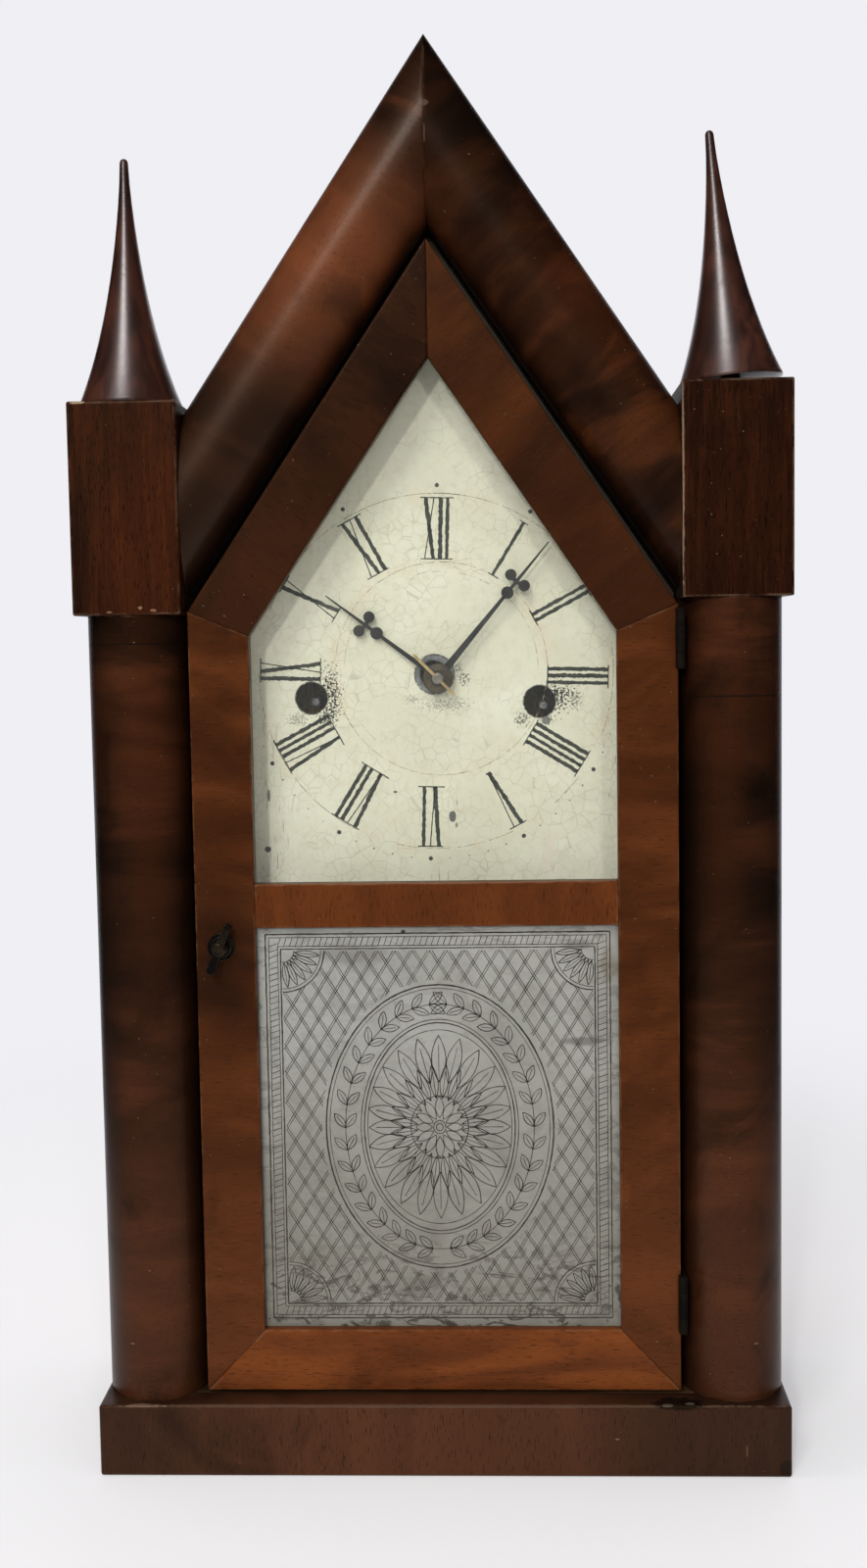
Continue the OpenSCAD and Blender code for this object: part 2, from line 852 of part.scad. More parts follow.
// One leaf of the thumb turn: a slim waist that swells to a round end
module thumb_lobe(reach, end_r) {
    polygon([[-1.2, 0], [1.2, 0], [end_r, reach - end_r * 1.8], [-end_r, reach - end_r * 1.3]]);
    translate([0, reach - end_r])
        circle(end_r, $fn = 32);
}
module latch_tongue() {
    color(iron)
        slab(tongue_depth, tongue_depth + tongue_t)
            at(latch_at, 180 - turn_tilt)
                difference() {
                    union() {
                        circle(4, $fn = 32);
                        translate([-tongue_w / 2, 0])
                            square([tongue_w, tongue_l - tongue_w / 2]);
                        translate([0, tongue_l - tongue_w / 2])
                            circle(tongue_w / 2, $fn = 32);
                    }
                    circle(spindle_r, $fn = 64);
                }
}

// Movement plates, skeletonised, with pivot holes
arbor_ats = [centre_at, third_at, escape_at, verge_at, pin_at, warning_at, fly_at, hammer_at,
    count_lever_at];
// Cut-outs of the plates, as [x and z from the centre arbor, radius]
side_window_r = 20;
left_window_r = 16;
low_window_r = 17;
foot_window_r = 15;
top_window_r = 8;
high_window_r = 11;
plate_windows = [
    [plate_right - pillar_edge, 14, side_window_r],
    [pillar_side - 2 - plate_left, 12, left_window_r],
    [-2 * low_window_r + 2, 2 - plate_low, low_window_r],
    [time_square_x - 2, -plate_low - 2, foot_window_r],
    [-top_window_r - 1, 44, top_window_r],
    [time_square_x, 40, high_window_r]];
function roof_inside(x, room) = roof_z(x) - below(roof_t) - room;
module plate_outline() {
    difference() {
        intersection() {
            at(centre_at + [-plate_left, -plate_low])
                square([plate_left + plate_right, plate_low + plate_high]);
            polygon([
                [0, roof_inside(0, roof_room)],
                [-case_hw, roof_inside(case_hw, roof_room)],
                [-case_hw, 0],
                [case_hw, 0],
                [case_hw, roof_inside(case_hw, roof_room)]
            ]);
        }
        for (w = plate_windows)
            at(centre_at + [w[0], w[1]])
                circle(w[2]);
    }
}
module plate(a, b, winding_clear) {
    difference() {
        slab(a, b)
            plate_outline();
        for (p = arbor_ats)
            bar(p, a - 1, b + 1, pivot_r + pivot_clear);
        for (p = [time_main_at, strike_main_at])
            bar(p, a - 1, b + 1, winding_r + winding_clear);
        for (p = pillar_ats)
            bar(p, a - 1, b + 1, pillar_neck_r);
        children();
    }
}
pillar_r = 3.2;
pillar_neck_r = 2;
screw_r = 1.5;
screw_l = 5;
module back_plate() {
    color(brass)
        plate(room_back, plate_back, pivot_clear);
}
// The front plate also holds the minute wheel's stud and the cock of the pendulum
stud_r = 0.9;
cock_t = 4;
cock_z = verge_at[1] + 3.5;
rod_depth = dial_back + 5.8;
module front_plate() {
    color(brass) {
        difference() {
            plate(plate_front, room_front, pivot_clear);
            bar(centre_at, plate_front - 1, room_front + 1, cannon_r + pivot_clear);
            bar(minute_at, plate_front - 1, room_front + 1, stud_r);
        }
        bar(minute_at, plate_front - 6, room_front, stud_r);
        difference() {
            union() {
                slab(rod_depth - 2, plate_front)
                    translate([verge_at[0] - cock_t, cock_z])
                        square([2 * cock_t, 5]);
                slab(rod_depth - 2, rod_depth + 2)
                    translate([verge_at[0] - cock_t, verge_at[1]])
                        square([2 * cock_t, 5]);
            }
            slab(rod_depth - 3, rod_depth + 2.5)
                translate([verge_at[0] - 0.8, verge_at[1] - 1])
                    square([1.6, 8]);
        }
    }
}
module plate_pillars() {
    color(brass)
        for (p = pillar_ats) {
            bar(p, room_front, room_back, pillar_r);
            bar(p, plate_front - 2.5, room_front, pillar_neck_r);
            bar(p, room_back, plate_back + 0.5, pillar_neck_r);
        }
}
foot_reach = 14;
foot_strip = 1.4;
foot_w = 10;
foot_low = 26;
foot_high_z = roof_inside(plate_left + foot_reach, roof_room) - foot_w / 2 - 1;
function foot_places() = [
    [centre_at[0] + plate_right, centre_at[1] - foot_low, 1],
    [centre_at[0] + plate_right, foot_high_z, 1],
    [centre_at[0] - plate_left, centre_at[1] - foot_low, -1],
    [centre_at[0] - plate_left, foot_high_z, -1]];
function foot_screw_ats() = [for (f = foot_places()) foot_screw_at(f)];
module movement_feet() {
    inside = 12;
    color(brass)
        for (f = foot_places()) {
            difference() {
                union() {
                    foot_piece(f, -inside, foot_strip, plate_back, plate_back + foot_strip, foot_w);
                    foot_piece(f, 0, foot_strip, plate_back, back_front, foot_w);
                    foot_piece(f, 0, foot_reach, back_front - foot_strip, back_front, foot_w);
                }
                bar(foot_screw_at(f), back_front - 4, back_front + 1, screw_r);
            }
            bar(foot_screw_at(f), back_front - foot_strip - 1.6, back_front - foot_strip, 2 * screw_r);
            bar(foot_screw_at(f), back_front - foot_strip - 1, back_front + screw_l, screw_r);
        }
}
function foot_screw_at(f) = [f[0] + f[2] * (foot_reach - 4), f[1]];
module foot_piece(f, from, to, a, b, w) {
    slab(a, b)
        translate([f[0] + (f[2] > 0 ? from : -to), f[1] - w / 2])
            square([to - from, w]);
}

// A spoked wheel outline with involute teeth
module wheel_outline(teeth, mod, turn, rim, hub, spokes) {
    r = teeth * mod / 2 - 1.1 * mod;
    difference() {
        rotate(turn)
            polygon(gear_points(teeth, mod, 0.7, 1.1));
        difference() {
            circle(r - rim);
            circle(hub);
            for (i = [0 : spokes - 1])
                rotate(i * 360 / spokes)
                    translate([0, -hub * 0.35])
                        square([r, hub * 0.7]);
        }
    }
}
module pinion_outline(leaves, mod, turn) {
    rotate(turn)
        polygon(gear_points(leaves, mod, 0.9, 0.95));
}
// An arbor between the plates with a pivot at each end
module arbor(p, r) {
    bar(p, room_front + 0.3, room_back - 0.3, r);
    bar(p, plate_front, plate_back, pivot_r);
}
module layer(l, grow = 0) {
    slab(room_front + l[0] - grow, room_front + l[1] + grow)
        children();
}

cannon_r = 2;
cannon_layer = [plate_front - 3, plate_front - 1.4];
hour_layer = [plate_front - 5.6, plate_front - 4.4];
pipe_r = 3.2;
hour_hand_back = dial_front - 2.6;
minute_hand_back = hour_hand_back - hand_t - 2;
hand_end = minute_hand_back - hand_t - 2.6;
centre_pinion_turn = mesh_turn(great_teeth, 0, great_leaves, direction(time_main_at, centre_at));
third_pinion_turn = mesh_turn(train_teeth, 0, train_leaves, direction(centre_at, third_at));
escape_pinion_turn = mesh_turn(third_teeth, 0, train_leaves, direction(third_at, escape_at));
minute_wheel_turn = mesh_turn(cannon_leaves, 0, minute_teeth, direction(centre_at, minute_at));
hour_wheel_turn = mesh_turn(minute_leaves, 0, hour_teeth, direction(minute_at, centre_at));
pin_pinion_turn = mesh_turn(great_teeth, 0, great_leaves, direction(strike_main_at, pin_at));
warning_pinion_turn = mesh_turn(train_teeth, 0, train_leaves, direction(pin_at, warning_at));
fly_pinion_turn = mesh_turn(third_teeth, 0, train_leaves, direction(warning_at, fly_at));

module centre_arbor() {
    color(brass)
        difference() {
            union() {
                bar(centre_at, room_front - plate_t, room_back - 0.3, cannon_r);
                bar(centre_at, room_back - 0.5, plate_back, pivot_r);
                bar(centre_at, hand_end + 1, plate_front, cannon_r);
                bar(centre_at, hand_end, hand_end + 1, cannon_r - 0.4);
                layer(great_layer, 0.6)
                    at(centre_at)
                        pinion_outline(great_leaves, great_module, centre_pinion_turn);
                layer(centre_layer)
                    at(centre_at)
                        wheel_outline(train_teeth, centre_module, 0, 2.2, 4, 4);
                slab(cannon_layer[0] - 0.2, cannon_layer[1] + 0.2)
                    at(centre_at)
                        pinion_outline(cannon_leaves, motion_module, 0);
            }
            hand_pin_bar(hand_pin_r + 0.02);
        }
}
module minute_wheel() {
    color(brass)
        difference() {
            union() {
                slab(cannon_layer[0], cannon_layer[1])
                    at(minute_at)
                        wheel_outline(minute_teeth, motion_module, minute_wheel_turn, 1.6, 3, 4);
                slab(hour_layer[0] - 0.3, cannon_layer[0])
                    at(minute_at)
                        pinion_outline(minute_leaves, hour_module, 0);
            }
            bar(minute_at, plate_front - 10, plate_front + 1, stud_r + pivot_clear);
        }
}
module hour_wheel() {
    color(brass)
        difference() {
            union() {
                slab(hour_layer[0], hour_layer[1])
                    at(centre_at)
                        wheel_outline(hour_teeth, hour_module, hour_wheel_turn, 1.4, 4.6, 4);
                bar(centre_at, hour_hand_back - hand_t - 0.4, hour_layer[1], pipe_r);
            }
            bar(centre_at, hour_hand_back - hand_t - 2, hour_layer[1] + 1, cannon_r + pivot_clear);
        }
}

// Hands: a hub, a tapering stem, a cross of thin arms with three round lobes, and a slim point
lobe_r = 2.05;
lobe_side = 3.1;
lobe_step = 0.8;
lobe_back = 4.9;
arm_hw = 0.6;
module hand_outline(reach, cross_at, hub_r, hole_r, stem) {
    back_at = cross_at - lobe_back;
    side_at = cross_at + lobe_step;
    tip_hw = 0.2;
    difference() {
        union() {
            circle(hub_r);
            polygon([
                [stem, 0],
                [arm_hw, back_at],
                [arm_hw, cross_at - arm_hw],
                [lobe_side, side_at - arm_hw],
                [lobe_side, side_at + arm_hw],
                [arm_hw, cross_at + arm_hw * 1.6],
                [tip_hw, reach],
                [-tip_hw, reach],
                [-arm_hw, cross_at + arm_hw * 1.6],
                [-lobe_side, side_at + arm_hw],
                [-lobe_side, side_at - arm_hw],
                [-arm_hw, cross_at - arm_hw],
                [-arm_hw, back_at],
                [-stem, 0]
            ]);
            translate([0, back_at])
                circle(lobe_r * 1.1);
            for (x = [-lobe_side, lobe_side])
                translate([x, side_at])
                    circle(lobe_r);
        }
        circle(hole_r);
    }
}
module minute_hand() {
    color(iron)
        slab(minute_hand_back - hand_t, minute_hand_back)
            at(centre_at, -minute_hand_turn)
                hand_outline(minute_hand_l, minute_cross, 3.2, cannon_r + 0.02, 1.4);
}
module hour_hand() {
    color(iron)
        slab(hour_hand_back - hand_t, hour_hand_back)
            at(centre_at, -hour_hand_turn)
                hand_outline(hour_hand_l, hour_cross, 5.2, pipe_r + 0.02, 1);
}
hand_pin_r = 0.55;
// Taper pin through the arbor in front of a domed washer
module hand_pin_bar(r) {
    translate([centre_at[0], minute_hand_back - hand_t - 1.3 - case_depth / 2, centre_at[1]])
        rotate([0, -45, 0])
            translate([0, 0, -hand_pin_l * 0.4])
                cylinder(h = hand_pin_l, r = r, $fn = 32);
}
module hand_pin() {
    color(brass) {
        hand_pin_bar(hand_pin_r);
        difference() {
            bar(centre_at, minute_hand_back - hand_t - 0.7, minute_hand_back - hand_t, 3);
            bar(centre_at, minute_hand_back - hand_t - 1, minute_hand_back - hand_t + 1, cannon_r + 0.02);
        }
    }
}

ratchet_teeth = 20;
ratchet_r = 10;
click_turn = 25;
// Great wheel with its click, which turns with it behind the ratchet
module great_wheel(p) {
    click_at = p + polar(ratchet_r + 6, click_turn);
    difference() {
        union() {
            layer(great_layer)
                at(p)
                    wheel_outline(great_teeth, great_module, 0, 3.4, 13, 5);
            layer([great_layer[1], ratchet_layer[1]])
                at(click_at)
                    circle(2);
            layer([great_layer[1] + 0.4, ratchet_layer[1]])
                at(click_at, click_turn - 75)
                    polygon([[-1.6, -1.6], [5, -1], [7, 1.6], [-1.6, 1.9]]);
        }
        bar(p, room_front, room_front + ratchet_layer[1], winding_r + pivot_clear);
    }
}
module winding_arbor(p) {
    square_w = 3.4;
    union() {
        slab(dial_front + 0.8, plate_front - 3)
            at(p)
                translate([-square_w / 2, -square_w / 2])
                    square(square_w);
        bar(p, plate_front - 4, room_front + ratchet_layer[1] + 0.5, winding_r);
        bar(p, room_front + ratchet_layer[1], room_back - 4.5, 4);
        bar(p, room_back - 5, plate_back, winding_r);
        layer([great_layer[1] + 0.15, ratchet_layer[1]])
            at(p)
                polygon([for (i = [0 : ratchet_teeth - 1]) each [
                    polar(ratchet_r, i * 360 / ratchet_teeth),
                    polar(ratchet_r - 1.8, (i + 0.1) * 360 / ratchet_teeth)]]);
    }
}
// Ribbon spring: half rings of growing radius, joined end to end, then hooked on the outside
spring_t = 0.6;
spring_inner = 5.2;
spring_halves = 14;
spring_step = (mainspring_r - spring_inner) / spring_halves;
module half_ring(r, w, lower) {
    intersection() {
        difference() {
            circle(r + w / 2);
            circle(r - w / 2);
        }
        translate([-r - w, lower ? -r - w : 0])
            square([2 * (r + w), r + w]);
    }
}
module mainspring(p) {
    layer(spring_layer)
        at(p)
            union()
                for (k = [0 : spring_halves - 1])
                    translate([k % 2 == 0 ? 0 : spring_step, 0])
                        half_ring(spring_inner + k * spring_step, spring_t, k % 2 == 1);
}
module time_great_wheel() {
    color(brass)
        great_wheel(time_main_at);
}
module time_winding_arbor() {
    color(steel)
        winding_arbor(time_main_at);
}
module time_mainspring() {
    color(steel)
        mainspring(time_main_at);
}
module strike_great_wheel() {
    color(brass)
        great_wheel(strike_main_at);
}
module strike_winding_arbor() {
    color(steel)
        winding_arbor(strike_main_at);
}
module strike_mainspring() {
    color(steel)
        mainspring(strike_main_at);
}

// A train wheel on its arbor, driven at its pinion
module train_arbor(p, drive, drive_mod, pinion_turn, wheel, teeth, wheel_mod) {
    union() {
        arbor(p, 1.3);
        layer(drive, 0.6)
            at(p)
                pinion_outline(drive == great_layer ? great_leaves : train_leaves, drive_mod, pinion_turn);
        layer(wheel)
            at(p)
                wheel_outline(teeth, wheel_mod, 0, 2, 3.4, 4);
    }
}
module third_wheel() {
    color(brass)
        train_arbor(third_at, centre_layer, centre_module, third_pinion_turn, third_layer, third_teeth,
            third_module);
}
module escape_wheel() {
    color(brass)
        union() {
            arbor(escape_at, 1.3);
            layer(third_layer, 0.6)
                at(escape_at)
                    pinion_outline(train_leaves, third_module, escape_pinion_turn);
            layer(escape_layer)
                at(escape_at)
                    difference() {
                        polygon([for (i = [0 : escape_teeth - 1]) each [
                            polar(escape_r, i * 360 / escape_teeth),
                            polar(escape_r - 1.9, (i + 0.25) * 360 / escape_teeth),
                            polar(escape_r - 1.9, (i + 0.6) * 360 / escape_teeth)]]);
                        difference() {
                            circle(escape_r - 3.6);
                            circle(3);
                            for (a = [0, 90])
                                rotate(a)
                                    translate([-escape_r, -0.9])
                                        square([2 * escape_r, 1.8]);
                        }
                    }
        }
}
// Anchor strip over the escape wheel, and the crutch in front of the plate
module verge() {
    pallet_r = escape_r + 0.9;
    crutch_depth = rod_depth + 4;
    crutch_l = 44;
    color(steel)
        union() {
            bar(verge_at, room_front + 0.3, room_back - 0.3, 1.2);
            bar(verge_at, crutch_depth - 1, plate_back, pivot_r);
            layer([escape_layer[0] - 0.5, escape_layer[1] + 0.5])
                at(escape_at)
                    intersection() {
                        difference() {
                            circle(pallet_r + 1.6);
                            circle(pallet_r);
                        }
                        polygon([[0, 0], [-22, 16], [-22, 30], [22, 30], [22, 16]]);
                    }
            layer([escape_layer[0] - 0.5, escape_layer[1] + 0.5])
                translate([verge_at[0] - 1.6, escape_at[1] + pallet_r + 0.6])
                    square([3.2, verge_rise - pallet_r]);
            bar(verge_at, crutch_depth - 0.6, crutch_depth + 1.2, 2.2);
            slab(crutch_depth - 0.4, crutch_depth + 0.4)
                translate([verge_at[0] - 0.5, verge_at[1] - crutch_l])
                    square([1, crutch_l]);
            slab(crutch_depth - 0.4, crutch_depth + 0.4)
                translate([verge_at[0] - 1.9, verge_at[1] - crutch_l])
                    square([3.8, 1]);
            slab(rod_depth - 1.9, crutch_depth + 0.4)
                for (x = [-1.9, 0.9])
                    translate([verge_at[0] + x, verge_at[1] - crutch_l])
                        square([1, 1]);
        }
}
rod_r = 0.6;
bob_z = verge_at[1] - pendulum_l;
module pendulum_rod() {
    color(steel)
        union() {
            slab(rod_depth - 1.5, rod_depth + 1.5)
                translate([verge_at[0] - 0.2, verge_at[1] - 8])
                    square([0.4, 12]);
            translate([verge_at[0], rod_depth - case_depth / 2, bob_z - bob_r - 8])
                cylinder(h = pendulum_l + bob_r, r = rod_r, $fn = 32);
        }
}
module pendulum_bob() {
    edge = 1;
    color(brass)
        difference() {
            union() {
                translate([verge_at[0], rod_depth - case_depth / 2, bob_z])
                    rotate([90, 0, 0])
                        rotate_extrude($fn = 96)
                            intersection() {
                                translate([0, -bob_t / 2])
                                    square([bob_r, bob_t]);
                                polygon([[0, bob_t / 2], [bob_r * 0.45, bob_t / 2 - 0.4],
                                    [bob_r * 0.8, bob_t / 2 - 1.6], [bob_r, edge / 2],
                                    [bob_r, -edge / 2], [bob_r * 0.8, 1.6 - bob_t / 2],
                                    [bob_r * 0.45, 0.4 - bob_t / 2], [0, -bob_t / 2]]);
                            }
                translate([verge_at[0], rod_depth - case_depth / 2, bob_z - bob_r - 3.3])
                    cylinder(h = 3.5, r = 3);
            }
            translate([verge_at[0], rod_depth - case_depth / 2, bob_z - bob_r - 9])
                cylinder(h = 2 * bob_r + 20, r = rod_r + 0.02, $fn = 32);
        }
}

// Strike train
module pin_wheel() {
    pins = 8;
    color(brass)
        union() {
            train_arbor(pin_at, great_layer, great_module, pin_pinion_turn, centre_layer, train_teeth,
                centre_module);
            for (i = [0 : pins - 1])
                bar(pin_at + polar(17, i * 360 / pins), room_front + centre_layer[1] - 0.5,
                    room_front + tail_layer[1], 0.7);
        }
}
module warning_wheel() {
    color(brass)
        train_arbor(warning_at, centre_layer, centre_module, warning_pinion_turn, third_layer,
            third_teeth, third_module);
}
module fly() {
    vane_hw = 11;
    color(brass)
        union() {
            arbor(fly_at, 1.2);
            layer(third_layer, 0.6)
                at(fly_at)
                    pinion_outline(train_leaves, third_module, fly_pinion_turn);
            layer([18, 30])
                at(fly_at, 20)
                    translate([-vane_hw, -0.4])
                        square([2 * vane_hw, 0.8]);
        }
}
count_r = 24;
module count_wheel() {
    notches = 78;
    hours = [1, 2, 3, 4, 5, 6, 7, 8, 9, 10, 11, 12];
    starts = [for (h = hours) h * (h + 1) / 2];
    color(brass)
        layer(count_layer)
            at(strike_main_at)
                difference() {
                    circle(count_r);
                    circle(winding_r + pivot_clear);
                    for (s = starts)
                        rotate(s * 360 / notches)
                            translate([count_r - 2.6, -0.6])
                                square([4, 1.2]);
                    for (a = [0 : 3])
                        rotate(a * 90 + 45)
                            translate([13, 0])
                                circle(5);
                }
}
// Hammer on its arbor, with a tail that the pins lift and a long wire to the gong
module strike_hammer() {
    head_l = 9;
    head_r = 4.6;
    gap = 1.2;
    side = gong_side_x() - gap;
    tail_tip = pin_at + polar(18.6, -52);
    wire_r = 1.1;
    reach = [side - head_l / 2 - hammer_at[0], gong_z - hammer_at[1]];
    wire_l = norm(reach);
    wire_turn = atan2(reach[0], -reach[1]);
    color(steel)
        union() {
            arbor(hammer_at, 1.3);
            layer(hammer_layer)
                at(hammer_at)
                    circle(3);
            translate([hammer_at[0], gong_depth - case_depth / 2, hammer_at[1]])
                rotate([0, -wire_turn, 0])
                    translate([0, 0, -wire_l])
                        cylinder(h = wire_l - 1, r = wire_r, $fn = 32);
            translate([side - head_l, gong_depth - case_depth / 2, gong_z])
                rotate([0, 90, 0])
                    cylinder(h = head_l, r = head_r);
            layer(tail_layer)
                union() {
                    at(hammer_at)
                        circle(2.6);
                    polygon([hammer_at + [-1.2, 0], hammer_at + [1.2, 0], tail_tip + [0.9, 0],
                        tail_tip + [-0.9, 0]]);
                }
        }
}
module count_lever() {
    bend = strike_main_at + polar(count_r + 4, 110);
    hook_tip = strike_main_at + polar(count_r + 0.6, 110);
    color(steel)
        union() {
            arbor(count_lever_at, 1.1);
            layer([count_layer[0] - 0.2, count_layer[1]])
                union() {
                    at(count_lever_at)
                        circle(2.6);
                    polygon([count_lever_at + [0, -1], count_lever_at + [0, 1.2], bend + [1, 1.2],
                        hook_tip + [0.9, 0.4], hook_tip + [-0.4, 0], bend + [-1.6, -1]]);
                }
        }
}

// Gong: upper half turns about the middle, lower ones a step aside, radii growing by one step
function gong_half_r(k) = gong_r + k * gong_step;
function gong_side_x() = gong_x - gong_half_r(gong_halves - 2) - gong_wire_r;
function gong_points() = [for (k = [0 : gong_halves - 1]) for (i = [0 : 11])
    (k % 2 == 0 ? [0, 0] : [gong_step, 0]) + polar(gong_half_r(k), (k % 2) * 180 + i * 15)];
function least_gap(points, skip) =
    min([for (i = [0 : len(points) - 1]) for (j = [i + skip : 1 : len(points) - 1])
        norm(points[i] - points[j])]);
gong_gap = least_gap(gong_points(), 16) - 2 * gong_wire_r;
echo(gong_gap = gong_gap);
module gong_coil() {
    color(steel)
        translate([gong_x, gong_depth - case_depth / 2, gong_z])
            rotate([90, 0, 0])
                union() {
                    for (k = [0 : gong_halves - 1])
                        translate([k % 2 == 0 ? 0 : gong_step, 0, 0])
                            rotate([0, 0, k % 2 == 0 ? 0 : 180])
                                rotate_extrude(angle = 180)
                                    translate([gong_half_r(k), 0])
                                        circle(gong_wire_r, $fn = 24);
                    translate([gong_r, 0, 0])
                        rotate([90, 0, 0])
                            cylinder(h = 2 * gong_wire_r, r = gong_wire_r, $fn = 24);
                }
}
gong_foot_t = 4;
function gong_screw_ats() = [gong_at + [gong_r - 1 - 11, -5], gong_at + [gong_r - 1 + 11, -5]];
module gong_stand() {
    post = [gong_x + gong_r - 2.6, gong_z - 2 * gong_wire_r - 4.4];
    color(iron)
        difference() {
            union() {
                slab(gong_depth - 2.2, back_front)
                    translate(post)
                        square([4.2, 4.4]);
                slab(back_front - gong_foot_t, back_front)
                    translate([gong_x + gong_r - 18, gong_z - 11])
                        square([34, 12]);
            }
            for (p = gong_screw_ats())
                bar(p, back_front - gong_foot_t - 1, back_front + 1, screw_r);
        }
    color(steel)
        for (p = gong_screw_ats()) {
            bar(p, back_front - gong_foot_t - 1.6, back_front - gong_foot_t, 2 * screw_r);
            bar(p, back_front - gong_foot_t - 1, back_front + screw_l, screw_r);
        }
}

base_boards();
bottom_board();
side_boards();
roof_boards();
back_board();
front_frame();
column_left();
column_right();
block_left();
block_right();
finial_left();
finial_right();
gable_moulding_left();
gable_moulding_right();
dial_cleats();
dial();
dial_pins();
gong_coil();
gong_stand();
case_hinge_leaves();
door_stile_left();
door_stile_right();
door_rafter_left();
door_rafter_right();
door_bottom_rail();
door_mid_rail();
dial_glass();
tablet_glass();
glazing_strips();
door_hinge_leaves();
latch_plate();
latch_turn();
latch_tongue();
back_plate();
front_plate();
plate_pillars();
movement_feet();
minute_hand();
hour_hand();
hand_pin();
centre_arbor();
minute_wheel();
hour_wheel();
time_great_wheel();
time_winding_arbor();
time_mainspring();
third_wheel();
escape_wheel();
verge();
pendulum_rod();
pendulum_bob();
strike_great_wheel();
strike_winding_arbor();
strike_mainspring();
pin_wheel();
warning_wheel();
fly();
count_wheel();
strike_hammer();
count_lever();
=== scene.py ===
import itertools
import math
import random

import bpy
from mathutils import Matrix, Vector


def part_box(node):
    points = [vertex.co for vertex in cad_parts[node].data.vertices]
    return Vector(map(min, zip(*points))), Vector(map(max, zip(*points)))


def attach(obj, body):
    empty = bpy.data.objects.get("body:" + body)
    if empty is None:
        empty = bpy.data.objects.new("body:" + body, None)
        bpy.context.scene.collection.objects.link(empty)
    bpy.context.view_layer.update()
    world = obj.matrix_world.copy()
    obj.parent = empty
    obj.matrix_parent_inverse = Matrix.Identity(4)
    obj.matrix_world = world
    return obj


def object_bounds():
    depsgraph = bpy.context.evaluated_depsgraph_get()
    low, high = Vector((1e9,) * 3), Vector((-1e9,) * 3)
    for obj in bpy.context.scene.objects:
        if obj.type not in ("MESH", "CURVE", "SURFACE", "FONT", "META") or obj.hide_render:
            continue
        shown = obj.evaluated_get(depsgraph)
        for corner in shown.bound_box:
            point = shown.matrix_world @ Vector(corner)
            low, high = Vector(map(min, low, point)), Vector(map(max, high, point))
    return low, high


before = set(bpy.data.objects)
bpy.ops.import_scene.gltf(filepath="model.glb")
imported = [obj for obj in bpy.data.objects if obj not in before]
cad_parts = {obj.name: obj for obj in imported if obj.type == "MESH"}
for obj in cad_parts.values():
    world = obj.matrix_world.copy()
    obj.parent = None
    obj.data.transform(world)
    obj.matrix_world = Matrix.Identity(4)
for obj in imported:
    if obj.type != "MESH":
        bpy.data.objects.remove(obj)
cad_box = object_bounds()

# Camera
# The photographer stood about 64 cm in front of the clock, a little to its right and level with
# the dial, and looked slightly down and to the left.
MM = 0.001
EYE = Vector((22.7, -635.1, 295.9)) * MM
YAW, PITCH, ROLL = (math.radians(angle) for angle in (-2.21, 4.594, -0.912))
LENS = 38.76
SENSOR = 36
NEAREST = 20 * MM
ahead = Vector((math.sin(YAW) * math.cos(PITCH), math.cos(YAW) * math.cos(PITCH), -math.sin(PITCH)))
level = Vector((math.cos(YAW), -math.sin(YAW), 0))
rise = level.cross(ahead)
right = level * math.cos(ROLL) + rise * math.sin(ROLL)
upward = rise * math.cos(ROLL) - level * math.sin(ROLL)
camera = bpy.data.objects.new("photographer", bpy.data.cameras.new("photographer"))
bpy.context.scene.collection.objects.link(camera)
camera.data.lens = LENS
camera.data.sensor_width = SENSOR
camera.data.clip_start = NEAREST
camera.matrix_world = Matrix.Translation(EYE) @ Matrix((right, upward, -ahead)).transposed().to_4x4()
bpy.context.scene.camera = camera
bpy.context.scene.view_settings.view_transform = "Standard"

# Studio
# A sheet of white paper in a pale room, with soft lamps in front, at the left, overhead and
# behind. Black cloth hangs all round, open only behind the clock. It shows in nothing but the
# polish, which stays dark between the highlights of the one lamp that shows, the window.


